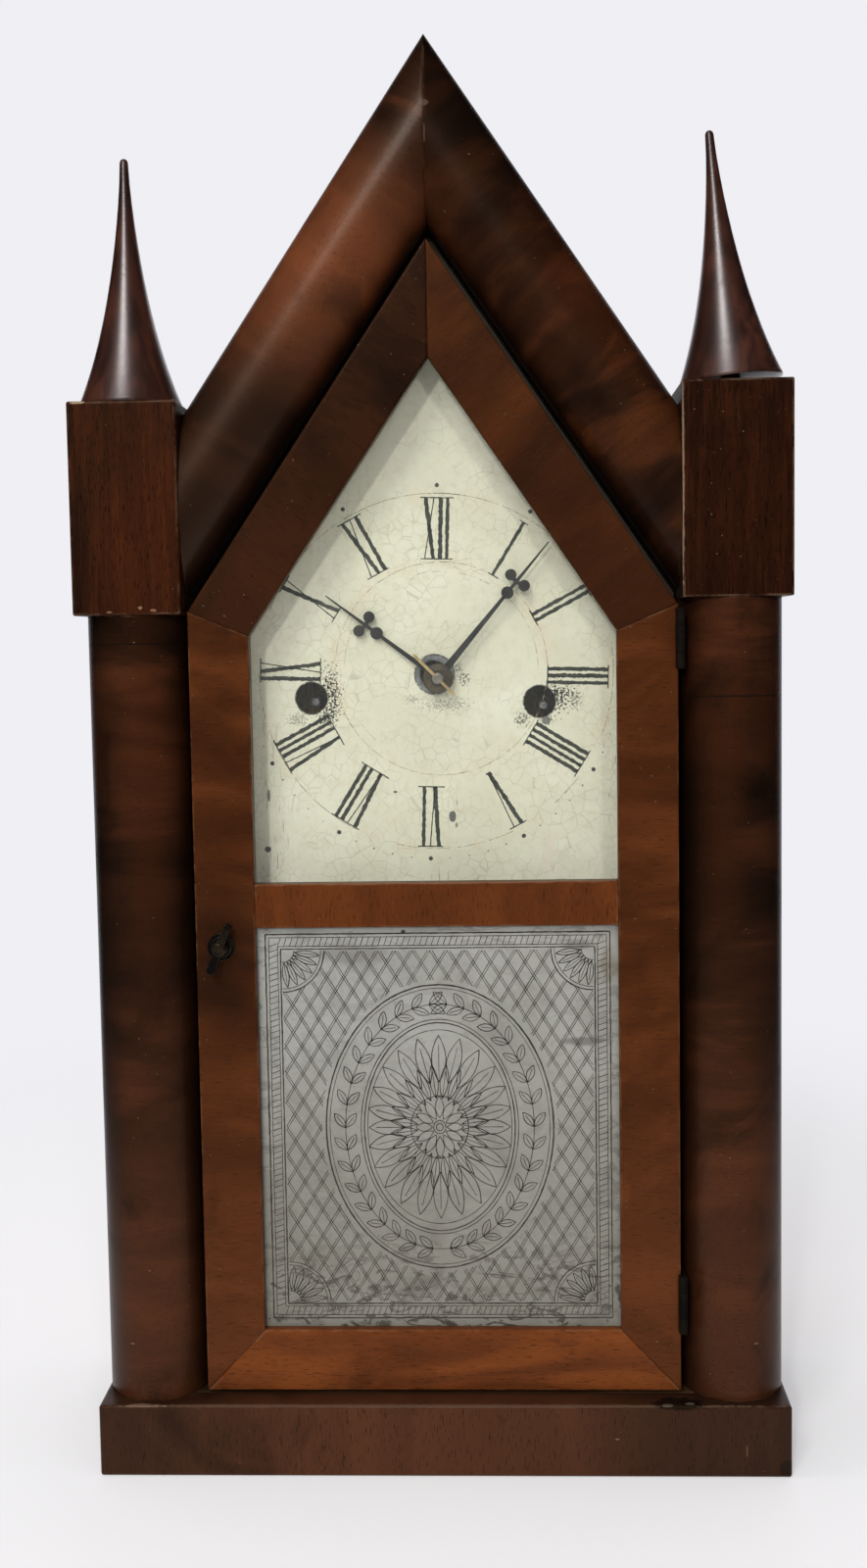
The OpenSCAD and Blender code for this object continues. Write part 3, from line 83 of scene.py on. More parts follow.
class Tone:
    """One value of a finish, such as a colour, a mask or a place. Sums and products of tones
    are worked out by the finish's own nodes."""

    def __init__(self, tree, outlet):
        self.tree = tree
        self.outlet = outlet

    def node(self, kind, settings=None, sockets=None, outlet=0):
        made = self.tree.nodes.new("ShaderNode" + kind)
        for name, value in (settings or {}).items():
            if name == "stops":
                ramp = made.color_ramp
                while len(ramp.elements) < len(value):
                    ramp.elements.new(0.5)
                for element, (at, colour) in zip(ramp.elements, value):
                    element.position = at
                    element.color = colour
            else:
                setattr(made, name, value)
        self.feed(made, sockets or {})
        return Tone(self.tree, made.outputs[outlet])

    def feed(self, node, sockets):
        for name, value in sockets.items():
            if isinstance(value, Tone):
                self.tree.links.new(value.outlet, node.inputs[name])
            else:
                node.inputs[name].default_value = value

    def maths(self, operation, *terms):
        return self.node("Math", {"operation": operation}, dict(enumerate(terms)))

    def __add__(self, other):
        return self.maths("ADD", self, other)

    def __radd__(self, other):
        return self.maths("ADD", other, self)

    def __sub__(self, other):
        return self.maths("SUBTRACT", self, other)

    def __rsub__(self, other):
        return self.maths("SUBTRACT", other, self)

    def __mul__(self, other):
        return self.maths("MULTIPLY", self, other)

    def __rmul__(self, other):
        return self.maths("MULTIPLY", other, self)

    def __pow__(self, other):
        return self.maths("POWER", self, other)

    def __abs__(self):
        return self.maths("ABSOLUTE", self)

    def larger(self, other):
        return self.maths("MAXIMUM", self, other)

    def smaller(self, other):
        return self.maths("MINIMUM", self, other)

    def between(self, low, high):
        """0 below low, 1 above high and a smooth step from one to the other."""
        return self.node(
            "MapRange",
            {"interpolation_type": "SMOOTHSTEP"},
            {"Value": self, "From Min": low, "From Max": high},
        )

    def mix(self, under, over):
        """The colour over laid on the colour under, as thick as this mask says."""
        return self.node("Mix", {"data_type": "RGBA"}, {0: self, 6: under, 7: over}, 2)

    def ramp(self, *stops):
        return self.node("ValToRGB", {"stops": stops}, {"Fac": self})

    def axes(self):
        split = self.node("SeparateXYZ", sockets={"Vector": self})
        outlets = split.outlet.node.outputs
        return [Tone(self.tree, outlets[axis]) for axis in "XYZ"]

    def turned(self, angle):
        """This place as seen from a piece that leans by angle in the plane of the dial."""
        return self.node("Mapping", sockets={"Vector": self, "Rotation": (0, angle, 0)})

    def cloud(self, size, detail=2.0, twist=0.0, seed=0.0, rough=0.5):
        """Soft noise with blots as large as size, in mm, all ways alike or along each axis."""
        sizes = [size] * 3 if isinstance(size, (int, float)) else size
        spread = {
            "Vector": self,
            "Scale": [1 / s for s in sizes],
            "Location": (seed, 1.7 * seed, 2.3 * seed),
        }
        noise = {
            "Vector": self.node("Mapping", sockets=spread),
            "Scale": 1.0,
            "Detail": detail,
            "Distortion": twist,
            "Roughness": rough,
        }
        return self.node("TexNoise", sockets=noise, outlet="Fac")

    def blot(self, centre, radii, ragged=0.3, grain=3.0, soft=0.15):
        """A ragged spot round centre, in mm, that is 1 inside and 0 outside."""
        shifted = self.node("VectorMath", {"operation": "SUBTRACT"}, {0: self, 1: centre})
        shrunk = self.node("VectorMath", {"operation": "DIVIDE"}, {0: shifted, 1: radii})
        reach = shrunk.node("VectorMath", {"operation": "LENGTH"}, {0: shrunk}, "Value")
        edge = reach + (self.cloud(grain, 3.0) - 0.5) * (2 * ragged)
        return 1.0 - edge.between(1 - soft, 1 + soft)

    def bump(self, depth=1.0, **sockets):
        """The normal of a face whose height, in mm, is this mask times depth."""
        relief = {"Height": self, "Distance": depth * MM, **sockets}
        return self.node("Bump", sockets=relief)


def tint(*chart):
    """A colour off a paint chart, as red, green and blue of 0 to 255, in linear values."""
    shares = [value / 255 for value in chart]
    return [((c + 0.055) / 1.055) ** 2.4 if c > 0.04045 else c / 12.92 for c in shares] + [1.0]


def new_finish(name, shine, **fixed):
    """A material with its shader, and the place on the piece in mm."""
    material = bpy.data.materials.new(name)
    material.use_nodes = True
    tree = material.node_tree
    shader = tree.nodes["Principled BSDF"]
    shader.inputs["Roughness"].default_value = shine
    for socket, value in fixed.items():
        shader.inputs[socket.replace("_", " ")].default_value = value
    place = Tone(tree, None).node("TexCoord", outlet="Object")
    place = place.node("VectorMath", {"operation": "SCALE"}, {0: place, "Scale": 1 / MM})
    return material, shader, place


def new_piece(name, points, faces, finish):
    """A mesh in one finish, from its points in metres and the points round each face."""
    mesh = bpy.data.meshes.new(name)
    mesh.from_pydata(points, [], faces)
    mesh.materials.append(finish)
    made = bpy.data.objects.new(name, mesh)
    bpy.context.scene.collection.objects.link(made)
    return made


def on_show(tree):
    """1 where the room is looked at, also in polish or through glass, and 0 where it gives light."""
    camera_ray, glossy_ray, glass_ray = (
        Tone(tree, None).node("LightPath", outlet=f"Is {kind} Ray")
        for kind in ("Camera", "Glossy", "Transmission")
    )
    return camera_ray.larger(glossy_ray).larger(glass_ray)


ROOM = tint(239, 239, 244)
ROOM_GLOW = 0.36
world = bpy.data.worlds.new("pale_room")
world.use_nodes = True
bpy.context.scene.world = world
seen = on_show(world.node_tree)
seen.feed(
    world.node_tree.nodes["Background"],
    {"Color": ROOM, "Strength": ROOM_GLOW + seen * (1 - ROOM_GLOW)},
)

PAPER = tint(236, 235, 236)
PAPER_GLOW = 0.31
PAPER_REACH = 1.6
PAPER_FADES = (160, 760)
PAPER_SIDES = 96
paper, shader, place = new_finish("white_paper", 0.9, Specular_IOR_Level=0.1, Emission_Strength=1.0)
seen = on_show(paper.node_tree)
fibre = place.cloud(3, 4.0)
x, y, z = place.axes()
away = (x * x + y * y) ** 0.5
place.feed(
    shader,
    {
        "Base Color": (fibre * 0.25 + 0.4).mix(tint(228, 226, 226), PAPER),
        "Alpha": 1.0 - away.between(*PAPER_FADES) * seen,
        "Emission Color": seen.mix((0, 0, 0, 1), [PAPER_GLOW * c for c in PAPER[:3]] + [1.0]),
        "Normal": fibre.bump(0.1, Strength=0.3),
    },
)
turns = [math.tau * i / PAPER_SIDES for i in range(PAPER_SIDES)]
outline = [(PAPER_REACH * math.cos(turn), PAPER_REACH * math.sin(turn), 0) for turn in turns]
sheet = new_piece("paper", outline, [range(PAPER_SIDES)], paper)

CLOTH_REACH = 2.6
CLOTH_BACK = 1.9
CLOTH_PARTS = 32
cloth, shader, place = new_finish("black_cloth", 0.9, Specular_IOR_Level=0.0)
nap = place.cloud(4, 3.0)
place.feed(shader, {"Base Color": nap.mix(tint(10, 10, 11), tint(22, 22, 24))})
spots = []
cells = []
for i in range(CLOTH_PARTS + 1):
    for j in range(CLOTH_PARTS):
        tilt = math.pi * (i / CLOTH_PARTS - 0.5)
        around = math.tau * j / CLOTH_PARTS
        outward = (math.cos(tilt) * math.sin(around), math.cos(tilt) * math.cos(around), math.sin(tilt))
        spots.append([CLOTH_REACH * c for c in outward])
for i in range(CLOTH_PARTS):
    for j in range(CLOTH_PARTS):
        here = CLOTH_PARTS * i
        next_j = (j + 1) % CLOTH_PARTS
        cell = [here + j, here + next_j, here + CLOTH_PARTS + next_j, here + CLOTH_PARTS + j]
        if sum(spots[corner][1] for corner in cell) < 4 * CLOTH_BACK:
            cells.append(cell)
hanging = new_piece("black_cloth", spots, cells, cloth)
hanging.visible_camera = False
hanging.visible_diffuse = False
hanging.visible_transmission = False
hanging.visible_shadow = False


def new_lamp(name, at, aim, size, watts, shows=False):
    """A soft lamp over the table. Only one that shows is seen in the polish."""
    lamp = bpy.data.objects.new(name, bpy.data.lights.new(name, "AREA"))
    lamp.data.shape = "RECTANGLE"
    lamp.data.size, lamp.data.size_y = size
    lamp.data.energy = watts
    lamp.location = at
    lamp.visible_glossy = shows
    lamp.rotation_euler = (Vector(aim) - Vector(at)).to_track_quat("-Z", "Y").to_euler()
    bpy.context.scene.collection.objects.link(lamp)


new_lamp("window", (-0.5, -1.65, 1.55), (0, 0, 0.35), (0.6, 0.9), 17.0, shows=True)
new_lamp("side_lamp", (-1.55, -0.15, 1.7), (0, 0, 0.4), (0.5, 0.5), 5.0)
new_lamp("front_left", (-0.32, -1.98, 0.8), (0, 0, 0.27), (0.1, 0.12), 10.0)
new_lamp("front_right", (0.45, -2.0, 0.7), (0, 0, 0.27), (0.1, 0.12), 5.0)
new_lamp("overhead", (0.0, 0.1, 1.7), (0, 0, 0.25), (1.2, 0.8), 3.0)
new_lamp("behind", (0.3, 1.6, 0.9), (0, 0, 0.25), (1.2, 0.8), 4.0)

# Base
# Three boards of softwood under mahogany veneer whose grain stands upright. The veneer has dark
# streaks, a torn patch at the top right and bare edges where hands have lifted the clock.
AMBER = (1.0, 0.62, 0.42, 1.0)


def edge_of(place, width):
    """How near a point is to a sharp edge of its piece, with the normal of a rounded edge."""
    rounded = place.node("Bevel", {"samples": 6}, {"Radius": width * MM})
    true = place.node("NewGeometry", outlet="Normal")
    facing = place.node("VectorMath", {"operation": "DOT_PRODUCT"}, {0: rounded, 1: true}, "Value")
    return 1.0 - facing, rounded


def wood(
    name, dark, middle, light, turn=0.0, mirrored=False, bands=(26, 26, 90), streaks=(1.5, 1.5, 38),
    seed=0.0, clouding=0.76, smudges=0.45, pores=0.5, waves=0.12, zones=(), blots=(), fade=None,
    worn=(128, 88, 60), wear=0.6, shine=0.34, gloss=0.18, sheen=AMBER, coat=0.03, coat_ior=1.4,
    lacquer=0.26,
):
    """Polished wood in three colours. Bands and streaks are the sizes of its figure and its grain,
    in mm along the axes of a piece that leans by turn, and a mirrored wood is the same on both
    sides of the clock. Zones are soft patches and blots ragged chips or stains, each a (centre,
    radii, colour, strength). Fade is (from z, to z, colour, strength) of a slow change."""
    finish, shader, place = new_finish(
        name, shine, Specular_IOR_Level=gloss, Specular_Tint=sheen, Coat_Roughness=lacquer,
        Coat_IOR=coat_ior,
    )
    if mirrored:
        x, y, z = place.axes()
        place = x.node("CombineXYZ", sockets={"X": abs(x), "Y": y, "Z": z})
    grain = place.turned(turn)
    figure = grain.cloud(bands, 3.0, 0.9, seed)
    streak = grain.cloud(streaks, 4.0, 0.4, seed + 3, 0.62)
    fibre = grain.cloud([s / 5 for s in streaks], 2.0, 0.0, seed + 5)
    along_z = streaks[2] > streaks[0]
    pore = grain.cloud((0.32, 0.32, 3.4) if along_z else (3.4, 0.32, 0.32), 1.5, 0.0, seed + 7)
    pore = pore.between(0.6, 0.7)
    stain = grain.cloud(42, 5.0, 1.2, seed + 11, 0.6).between(0.52, 0.74)
    tone = figure.between(0.22, 0.78) * clouding + streak.between(0.2, 0.8) * (0.9 - clouding)
    tone = tone + fibre * 0.1
    colour = tone.ramp((0.08, tint(*dark)), (0.48, tint(*middle)), (0.9, tint(*light)))
    if fade:
        from_z, to_z, shade, strength = fade
        height = place.axes()[2].between(from_z, to_z)
        colour = (height * strength).mix(colour, tint(*shade))
    for centre, radii, shade, strength in zones:
        patch = place.blot(centre, radii, 0.25, 26.0, 0.7)
        colour = (patch * strength).mix(colour, tint(*shade))
    deep = tint(*(0.45 * c for c in dark))
    colour = (stain * smudges).mix(colour, deep)
    colour = (pore * pores).mix(colour, deep)
    # Tiny pale flecks: dust, and painted pinpoint highlights.
    dust_and_glint_fleck = place.cloud(0.9, 0.0, 0.0, seed + 19).between(0.87, 0.89)
    colour = (dust_and_glint_fleck * 0.4).mix(colour, tint(140, 118, 96))
    near, rounded = edge_of(place, 1.3)
    rub = place.cloud(9, 4.0, 0.3, seed + 13, 0.65)
    bare = near.between(0.01, 0.12) * rub.between(0.44, 0.6) * wear
    colour = bare.mix(colour, tint(*worn))
    dull = bare
    for centre, radii, shade, strength in blots:
        mark = place.blot(centre, radii, 0.55, 1.8) * strength
        colour = mark.mix(colour, tint(*shade))
        dull = dull.larger(mark)
    swell = grain.cloud((24, 24, 60), 2.0, 0.5, seed + 17)
    height = swell * waves + streak * 0.03 - pore * 0.03 - dull * 0.08
    place.feed(
        shader,
        {
            "Base Color": colour,
            "Roughness": stain * 0.1 + (fibre * 0.1 + (shine - 0.05)) + dull * 0.2,
            "Coat Weight": (1.0 - dull.larger(stain * 0.6)) * coat,
            "Normal": height.bump(Normal=rounded),
        },
    )
    return finish


SAME_SPOT = 0.01
FLAT_ANGLE = math.radians(1)
SHARP_ANGLE = math.radians(32)


def dress(names, finish, ease=0.0):
    """Gives the finish to solids of the frame, and rounds their sharp edges by ease, in mm."""
    for name in names:
        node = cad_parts[name]
        mesh = node.data
        mesh.materials.clear()
        mesh.materials.append(finish)
        if ease:
            if "custom_normal" in mesh.attributes:
                mesh.attributes.remove(mesh.attributes["custom_normal"])
            mesh.shade_smooth()
            weld = node.modifiers.new("joined", "WELD")
            weld.merge_threshold = SAME_SPOT * MM
            plain = node.modifiers.new("faces", "DECIMATE")
            plain.decimate_type = "DISSOLVE"
            plain.angle_limit = FLAT_ANGLE
            soft = node.modifiers.new("edges", "BEVEL")
            soft.width = ease * MM
            soft.segments = 2
            soft.limit_method = "ANGLE"
            soft.angle_limit = SHARP_ANGLE
            soft.use_clamp_overlap = True
            shaded = node.modifiers.new("shading", "WEIGHTED_NORMAL")
            shaded.keep_sharp = False


base_veneer = wood(
    "base_veneer", (25, 15, 10), (40, 24, 16), (60, 36, 23), bands=(17, 17, 120),
    streaks=(1.1, 1.1, 30), seed=4, worn=(128, 100, 78), wear=0.7, pores=0.7,
    zones=(
        ((-6, -52, 12), (100, 60, 60), (98, 57, 35), 0.5),
        ((104, -52, 12), (44, 60, 60), (32, 21, 15), 0.5),
        ((-118, -52, 12), (34, 60, 60), (34, 22, 15), 0.35),
    ),
    blots=(
        ((0, -52, 25.9), (122, 1.5, 0.35), (104, 82, 66), 0.6),
        ((84, -50, 26), (9, 5, 1.3), (13, 9, 7), 0.85),
        ((80, -52, 26), (2.2, 2, 0.25), (132, 116, 100), 0.4),
        ((88, -50, 26), (1.6, 1, 0.3), (132, 116, 100), 0.4),
        ((62, -52, 14), (0.7, 3, 0.3), (150, 120, 92), 0.5),
        ((108, -52, 10), (0.25, 3, 2.2), (120, 96, 76), 0.5),
        ((122, -52, 3), (2.5, 3, 3.5), (24, 15, 10), 0.8),
        ((-108, -52, 25.8), (8, 2, 0.3), (128, 104, 84), 0.6),
    ),
)
dress(["base_boards"], base_veneer, 0.9)

# Case
# Softwood boards nailed together and stained dark on the outside. The back is plain pine that
# age has turned brown. The floor is darker, and the cleats and the frame behind the door are
# painted near-black as shade in the gaps round the door.
SLOPE = math.radians(34.15)
stained = wood(
    "stained_boards", (36, 20, 12), (58, 33, 20), (84, 50, 31), bands=(30, 30, 160),
    streaks=(1.6, 1.6, 60), seed=21, shine=0.5, worn=(140, 105, 72),
)
dress(["side_boards"], stained, 0.6)
roof_stain = wood(
    "stained_roof", (34, 19, 12), (54, 31, 19), (78, 46, 29), turn=SLOPE, mirrored=True,
    bands=(30, 30, 160), streaks=(1.6, 1.6, 60), seed=25, shine=0.5, coat=0.05, worn=(140, 105, 72),
)
dress(["roof_boards"], roof_stain, 0.6)
pine = wood(
    "aged_pine", (112, 76, 44), (146, 105, 64), (176, 134, 88), bands=(14, 14, 170),
    streaks=(2.2, 2.2, 70), seed=33, shine=0.62, gloss=0.15, coat=0.0, worn=(190, 150, 104),
    smudges=0.35, pores=0.25, waves=0.2,
)
dress(["back_board"], pine, 0.5)
floor_pine = wood(
    "case_floor", (26, 18, 12), (46, 32, 20), (70, 50, 32), bands=(160, 16, 16),
    streaks=(60, 2.2, 2.2), seed=35, shine=0.7, gloss=0.1, coat=0.0, wear=0.0, smudges=0.4,
    pores=0.3, waves=0.2,
)
dress(["bottom_board"], floor_pine, 0.5)
# Painted shade: near-black pine for the frame behind the door and the cleats, which sit in shadow.
shade_dark_pine = wood(
    "pine_painted_as_shade", (15, 10, 7), (26, 17, 11), (42, 28, 18), bands=(14, 14, 170),
    streaks=(2.2, 2.2, 70), seed=37, shine=0.6, gloss=0.1, coat=0.0, wear=0.0, smudges=0.35,
    pores=0.25, waves=0.2,
)
dress(["front_frame", "dial_cleats"], shade_dark_pine, 0.5)

# Columns
# Half-round softwood with mahogany veneer wrapped round it, the grain running across. The veneer
# is clouded with dark figure, and its colour is made redder and lighter towards the foot. The
# rounded outer side and the edge by the door are painted darker as shade.
for side, sign, seed, side_shade_strength, cloud_z, cloud_strength, crack_z in (
    ("left", -1, 43, 0.7, 195, 0.65, 299),
    ("right", 1, 47, 0.4, 232, 0.3, 277.8),
):
    middle_x = sign * 104
    column_veneer = wood(
        f"column_veneer_{side}", (16, 9, 5), (40, 21, 11), (74, 39, 21), bands=(95, 95, 24),
        streaks=(14, 14, 1.1), seed=seed, smudges=0.5, fade=(230, 60, (84, 47, 28), 0.45),
        zones=(
            # The first two zones are painted shade, along the column's rounded outer side and along its
            # edge by the door.
            ((sign * 124, -38, 170), (9, 40, 200), (15, 9, 6), side_shade_strength),
            ((sign * 86.5, -38, 170), (6, 40, 200), (14, 8, 5), 0.6),
            ((middle_x, -48, cloud_z), (40, 30, 30), (18, 11, 7), cloud_strength),
            ((middle_x, -48, 268), (40, 30, 16), (60, 30, 14), 0.35),
            ((sign * 101, -48, 248), (7, 30, 60), (70, 32, 13), 0.3),
        ),
        blots=(
            ((middle_x, -48, crack_z), (20, 20, 0.3), (14, 8, 5), 0.75),
            ((sign * 112, -46, 47), (0.9, 9, 0.3), (140, 104, 78), 0.5),
        ),
    )
    dress([f"column_{side}"], column_veneer)

# Blocks
# Square blocks over the columns, veneered with upright grain, with bare edges and a few chips
# where the clock has been knocked.
for side, seed, tones, bands, zone, chips in (
    (
        "left", 52, ((17, 8, 4), (39, 18, 8), (66, 31, 12)), (6, 6, 70),
        ((-98, -49, 335), (16, 30, 44), (84, 38, 15), 0.3),
        (
            ((-101, -49, 311.6), (0.8, 4, 0.6), (150, 112, 84), 0.7),
            ((-96.5, -49, 310.6), (1.2, 4, 0.5), (140, 100, 74), 0.7),
            ((-112, -49, 310.2), (0.9, 4, 0.4), (150, 112, 84), 0.6),
            ((-121, -49, 382.4), (2.6, 4, 0.5), (176, 150, 124), 0.7),
        ),
    ),
    (
        "right", 58, ((16, 7, 3), (33, 14, 6), (60, 27, 12)), (8, 8, 80),
        ((108, -49, 345), (18, 30, 30), (50, 22, 9), 0.4),
        (((87.0, -49, 352), (0.45, 3, 36), (168, 142, 118), 0.55),),
    ),
):
    block_veneer = wood(
        f"block_veneer_{side}", *tones, bands=bands, streaks=(0.7, 0.7, 16), seed=seed,
        worn=(158, 130, 104), wear=0.95, pores=0.9, clouding=0.45, zones=(zone,), blots=chips,
    )
    dress([f"block_{side}"], block_veneer, 0.7)

# Finials
# Spires turned from one piece of hardwood, darkly stained and polished on the lathe. Fine turning
# marks run round them and break up the light.
spire_finish = wood(
    "turned_spire", (30, 15, 10), (54, 27, 18), (84, 45, 29), bands=(10, 10, 30),
    streaks=(2.4, 2.4, 0.9), seed=64, shine=0.36, gloss=0.9, coat=1.0, coat_ior=1.62, lacquer=0.3,
    wear=0.5, waves=0.0, sheen=(1.0, 0.86, 0.84, 1.0),
)
dress(["finial_left", "finial_right"], spire_finish)

# Gable mouldings
# Two half-round bars mitred at the peak, veneered with short pieces whose grain runs across the
# slope, so that clouds of dark and red wood follow one another down it.
for side, turn, seed, gloss, tones, fade in (
    ("left", -SLOPE, 72, 0.5, ((20, 11, 6), (44, 23, 12), (80, 42, 22)), (422, 362, (34, 19, 10), 0.8)),
    ("right", SLOPE, 79, 0.15, ((18, 9, 5), (42, 21, 10), (74, 38, 17)), (400, 480, (18, 10, 6), 0.75)),
):
    slope_veneer = wood(
        f"gable_veneer_{side}", *tones, turn=turn, bands=(60, 60, 15), streaks=(14, 14, 1.2), seed=seed,
        smudges=0.5, fade=fade, wear=0.2, shine=0.45, gloss=gloss, coat=0.17, lacquer=0.2,
        zones=(
            # The first zone is a painted highlight, a lighter warm patch along the left moulding.
            ((-40, -40, 434), (36, 30, 36), (136, 72, 38), 0.45),
            ((62, -40, 420), (26, 30, 26), (74, 34, 13), 0.4),
        ),
        blots=(
            # The first blot is a painted highlight on the mitre at the peak.
            ((0.5, -48, 480), (1.4, 6, 1.1), (110, 92, 82), 0.4),
            ((0.3, -48, 470), (0.4, 6, 3), (96, 70, 56), 0.5),
        ),
    )
    dress([f"gable_moulding_{side}"], slope_veneer)

# Door frame
# Stiles, rafters and rails of softwood, mitred at the corners, with mahogany veneer whose grain
# runs across each member. It is finely pored and softly banded, and the rails are the reddest.
DOOR_EASE = 0.45
stile_veneer = wood(
    "stile_veneer", (56, 27, 11), (74, 37, 15), (94, 49, 21), bands=(60, 60, 22),
    streaks=(7, 7, 0.8), seed=83, smudges=0.35, fade=(170, 60, (100, 53, 25), 0.35),
    zones=(((-77, -43, 186), (15, 12, 27), (20, 11, 7), 0.65),),
)
dress(["door_stile_left", "door_stile_right"], stile_veneer, DOOR_EASE)
for side, turn, seed, tones, fade in (
    ("left", -SLOPE, 87, ((22, 11, 6), (36, 18, 8), (52, 26, 12)), (390, 310, (62, 33, 17), 0.7)),
    ("right", SLOPE, 89, ((42, 20, 9), (64, 32, 13), (84, 43, 18)), (400, 310, (48, 24, 12), 0.7)),
):
    rafter_veneer = wood(
        f"rafter_veneer_{side}", *tones, turn=turn, bands=(60, 60, 24), streaks=(7, 7, 0.8),
        seed=seed, smudges=0.35, wear=0.15, fade=fade,
    )
    dress([f"door_rafter_{side}"], rafter_veneer, DOOR_EASE)
for rail, bands, streaks in (
    ("bottom", (70, 40, 14), (9, 0.8, 0.8)),
    ("mid", (20, 40, 60), (0.8, 0.8, 9)),
):
    # The blot is a pale line along the top edge of the mid rail: a worn edge, and a painted highlight along
    # it.
    rail_veneer = wood(
        f"rail_veneer_{rail}", (76, 38, 16), (102, 52, 22), (124, 65, 28), bands=bands,
        streaks=streaks, seed=93, smudges=0.3, pores=0.6, worn=(170, 130, 95),
        fade=(110, 180, (84, 43, 19), 0.6), blots=(((0, -43, 213.2), (66, 1.4, 0.3), (136, 98, 72), 0.6),),
    )
    dress([f"door_{rail}_rail"], rail_veneer, DOOR_EASE)
strip_wood = wood(
    "strip_wood", (40, 22, 13), (64, 36, 21), (92, 55, 34), bands=(8, 8, 40), streaks=(1.2, 1.2, 24),
    seed=97, shine=0.55, coat=0.0,
)
dress(["glazing_strips"], strip_wood, 0.2)

# Dial
# A sheet of zinc painted cream, cracked and yellowed, with rubbed black specks round the winding
# holes and scratches along the left side and foot. The paint is bare at the rims of the holes,
# and the margin behind the door is painted near-black as shade.
DIAL_AT = (-0.25, 286.8)
RING_AT = (2.4, 288.4)
RING_R = 38.6
TRACK_R = 64.3
HOLE_AT = (0.0, 286.48)
TIME_SQUARE = (38.0, -10.4)
STRIKE_SQUARE = (-45.0, -8.0)
CENTRE_HOLE_R = 7.1
WINDING_HOLE_R = 5.8
DIAL_Y = -21
SPOT_DEPTH = 4
PEAK = cad_box[1][2] / MM


def shifted(centre, step):
    return (centre[0] + step[0], centre[1] + step[1])


def reach_of(x, z, centre):
    """How far a place is from the line through centre that runs into the clock, in mm."""
    return ((x - centre[0]) ** 2.0 + (z - centre[1]) ** 2.0) ** 0.5


def face_spot(place, face_y, x, z, across, tall, *edge):
    """A ragged spot on a flat face, from its centre and half sizes in mm."""
    return place.blot((x, face_y, z), (across, SPOT_DEPTH, tall), *edge)


dial_paint, shader, place = new_finish("dial_paint", 0.55, Specular_IOR_Level=0.3)
x, y, z = place.axes()
patchy = place.cloud(28, 4.0, 0.5, 2)
colour = patchy.ramp((0.3, tint(218, 217, 189)), (0.5, tint(226, 225, 198)), (0.72, tint(233, 232, 208)))
dusk = place.cloud(60, 3.0, 0.5, 9).between(0.45, 0.75)
colour = (dusk * 0.35).mix(colour, tint(214, 213, 186))
for centre, radius in ((RING_AT, RING_R), (DIAL_AT, TRACK_R)):
    off = abs(reach_of(x, z, centre) - radius)
    halo = (1.0 - off.between(0.5, 4.5)) * place.cloud(12, 3.0, 0.4, radius).between(0.42, 0.66)
    colour = (halo * 0.35).mix(colour, tint(222, 203, 172))
grime = place.cloud(0.55, 3.0, 0.0, 5, 0.7)
speck = grime.between(0.65, 0.72)
colour = (speck * 0.45).mix(colour, tint(120, 118, 96))
mottle = place.cloud(3.2, 4.0, 0.3, 23, 0.7).between(0.45, 0.7)
colour = (mottle * 0.42).mix(colour, tint(206, 201, 168))
crack = place.node(
    "TexVoronoi", {"feature": "DISTANCE_TO_EDGE"}, {"Vector": place, "Scale": 0.22}, "Distance"
)
crack = (1.0 - crack.between(0.0, 0.04)) * place.cloud(15, 2.0, 0.0, 7).between(0.35, 0.6)
colour = (crack * 0.38).mix(colour, tint(150, 148, 122))
scratch = place.cloud((0.34, 1, 7.0), 2.0, 0.2, 14).between(0.63, 0.69)
for x_at, z_at, across, tall, strength in (
    (-60, 226, 6, 26, 0.75),
    (63, 250, 4, 18, 0.8),
    (-62, 262, 3, 14, 0.6),
    (2, 213, 5, 7, 0.5),
    (7, 238, 3, 9, 0.7),
):
    scratched = scratch * face_spot(place, DIAL_Y, x_at, z_at, across, tall, 0.4, 6.0, 0.5)
    colour = (scratched * strength).mix(colour, tint(92, 90, 78))
dust = place.cloud(0.8, 3.0, 0.0, 19, 0.6)
for x_at, z_at, across, tall, strength in (
    (-38.0, 280.0, 3.6, 9.0, 1.0),
    (-37.5, 275, 3.2, 5.0, 1.0),
    (-39.5, 272, 4, 4, 0.9),
    (44.6, 277.5, 4.6, 5.4, 1.0),
    (46.0, 279, 4.4, 3.0, 1.0),
    (50.5, 277, 3, 4, 0.6),
    (31.5, 269.5, 2.8, 2.6, 0.8),
    (41, 269.3, 2.5, 2, 0.8),
    (-50, 271, 4, 2.5, 0.5),
    (4, 275.5, 9, 2.6, 0.45),
    (10.5, 284.5, 2, 2.2, 0.8),
    (8.4, 289, 1.4, 1.8, 0.7),
    (-8.5, 277.5, 3, 1.6, 0.45),
):
    near = face_spot(place, DIAL_Y, x_at, z_at, across, tall, 0.35, 2.0, 0.8)
    specks = (dust + near * 0.17).between(0.64, 0.67) * near.between(0.0, 0.2)
    colour = (specks * strength).mix(colour, tint(30, 29, 26))
for x_at, z_at, across, tall, shade, strength in (
    (-62.3, 223.2, 1.2, 1.1, (40, 40, 38), 0.95),
    (5.8, 234.6, 1.3, 2.0, (74, 76, 72), 0.95),
    (7.2, 231.4, 0.5, 0.9, (90, 88, 80), 0.8),
    (-61.5, 243, 0.6, 2.2, (70, 68, 60), 0.8),
    (40.3, 269.3, 1.6, 1.5, (104, 104, 98), 0.9),
    (37, 221.5, 1.8, 7.5, (230, 224, 202), 0.45),
    (41.2, 221, 1.7, 7.5, (228, 216, 196), 0.45),
    (-15, 243.8, 0.8, 0.4, (60, 58, 50), 0.9),
):
    spot = face_spot(place, DIAL_Y, x_at, z_at, across, tall, 0.25, 1.2, 0.12)
    colour = (spot * strength).mix(colour, tint(*shade))
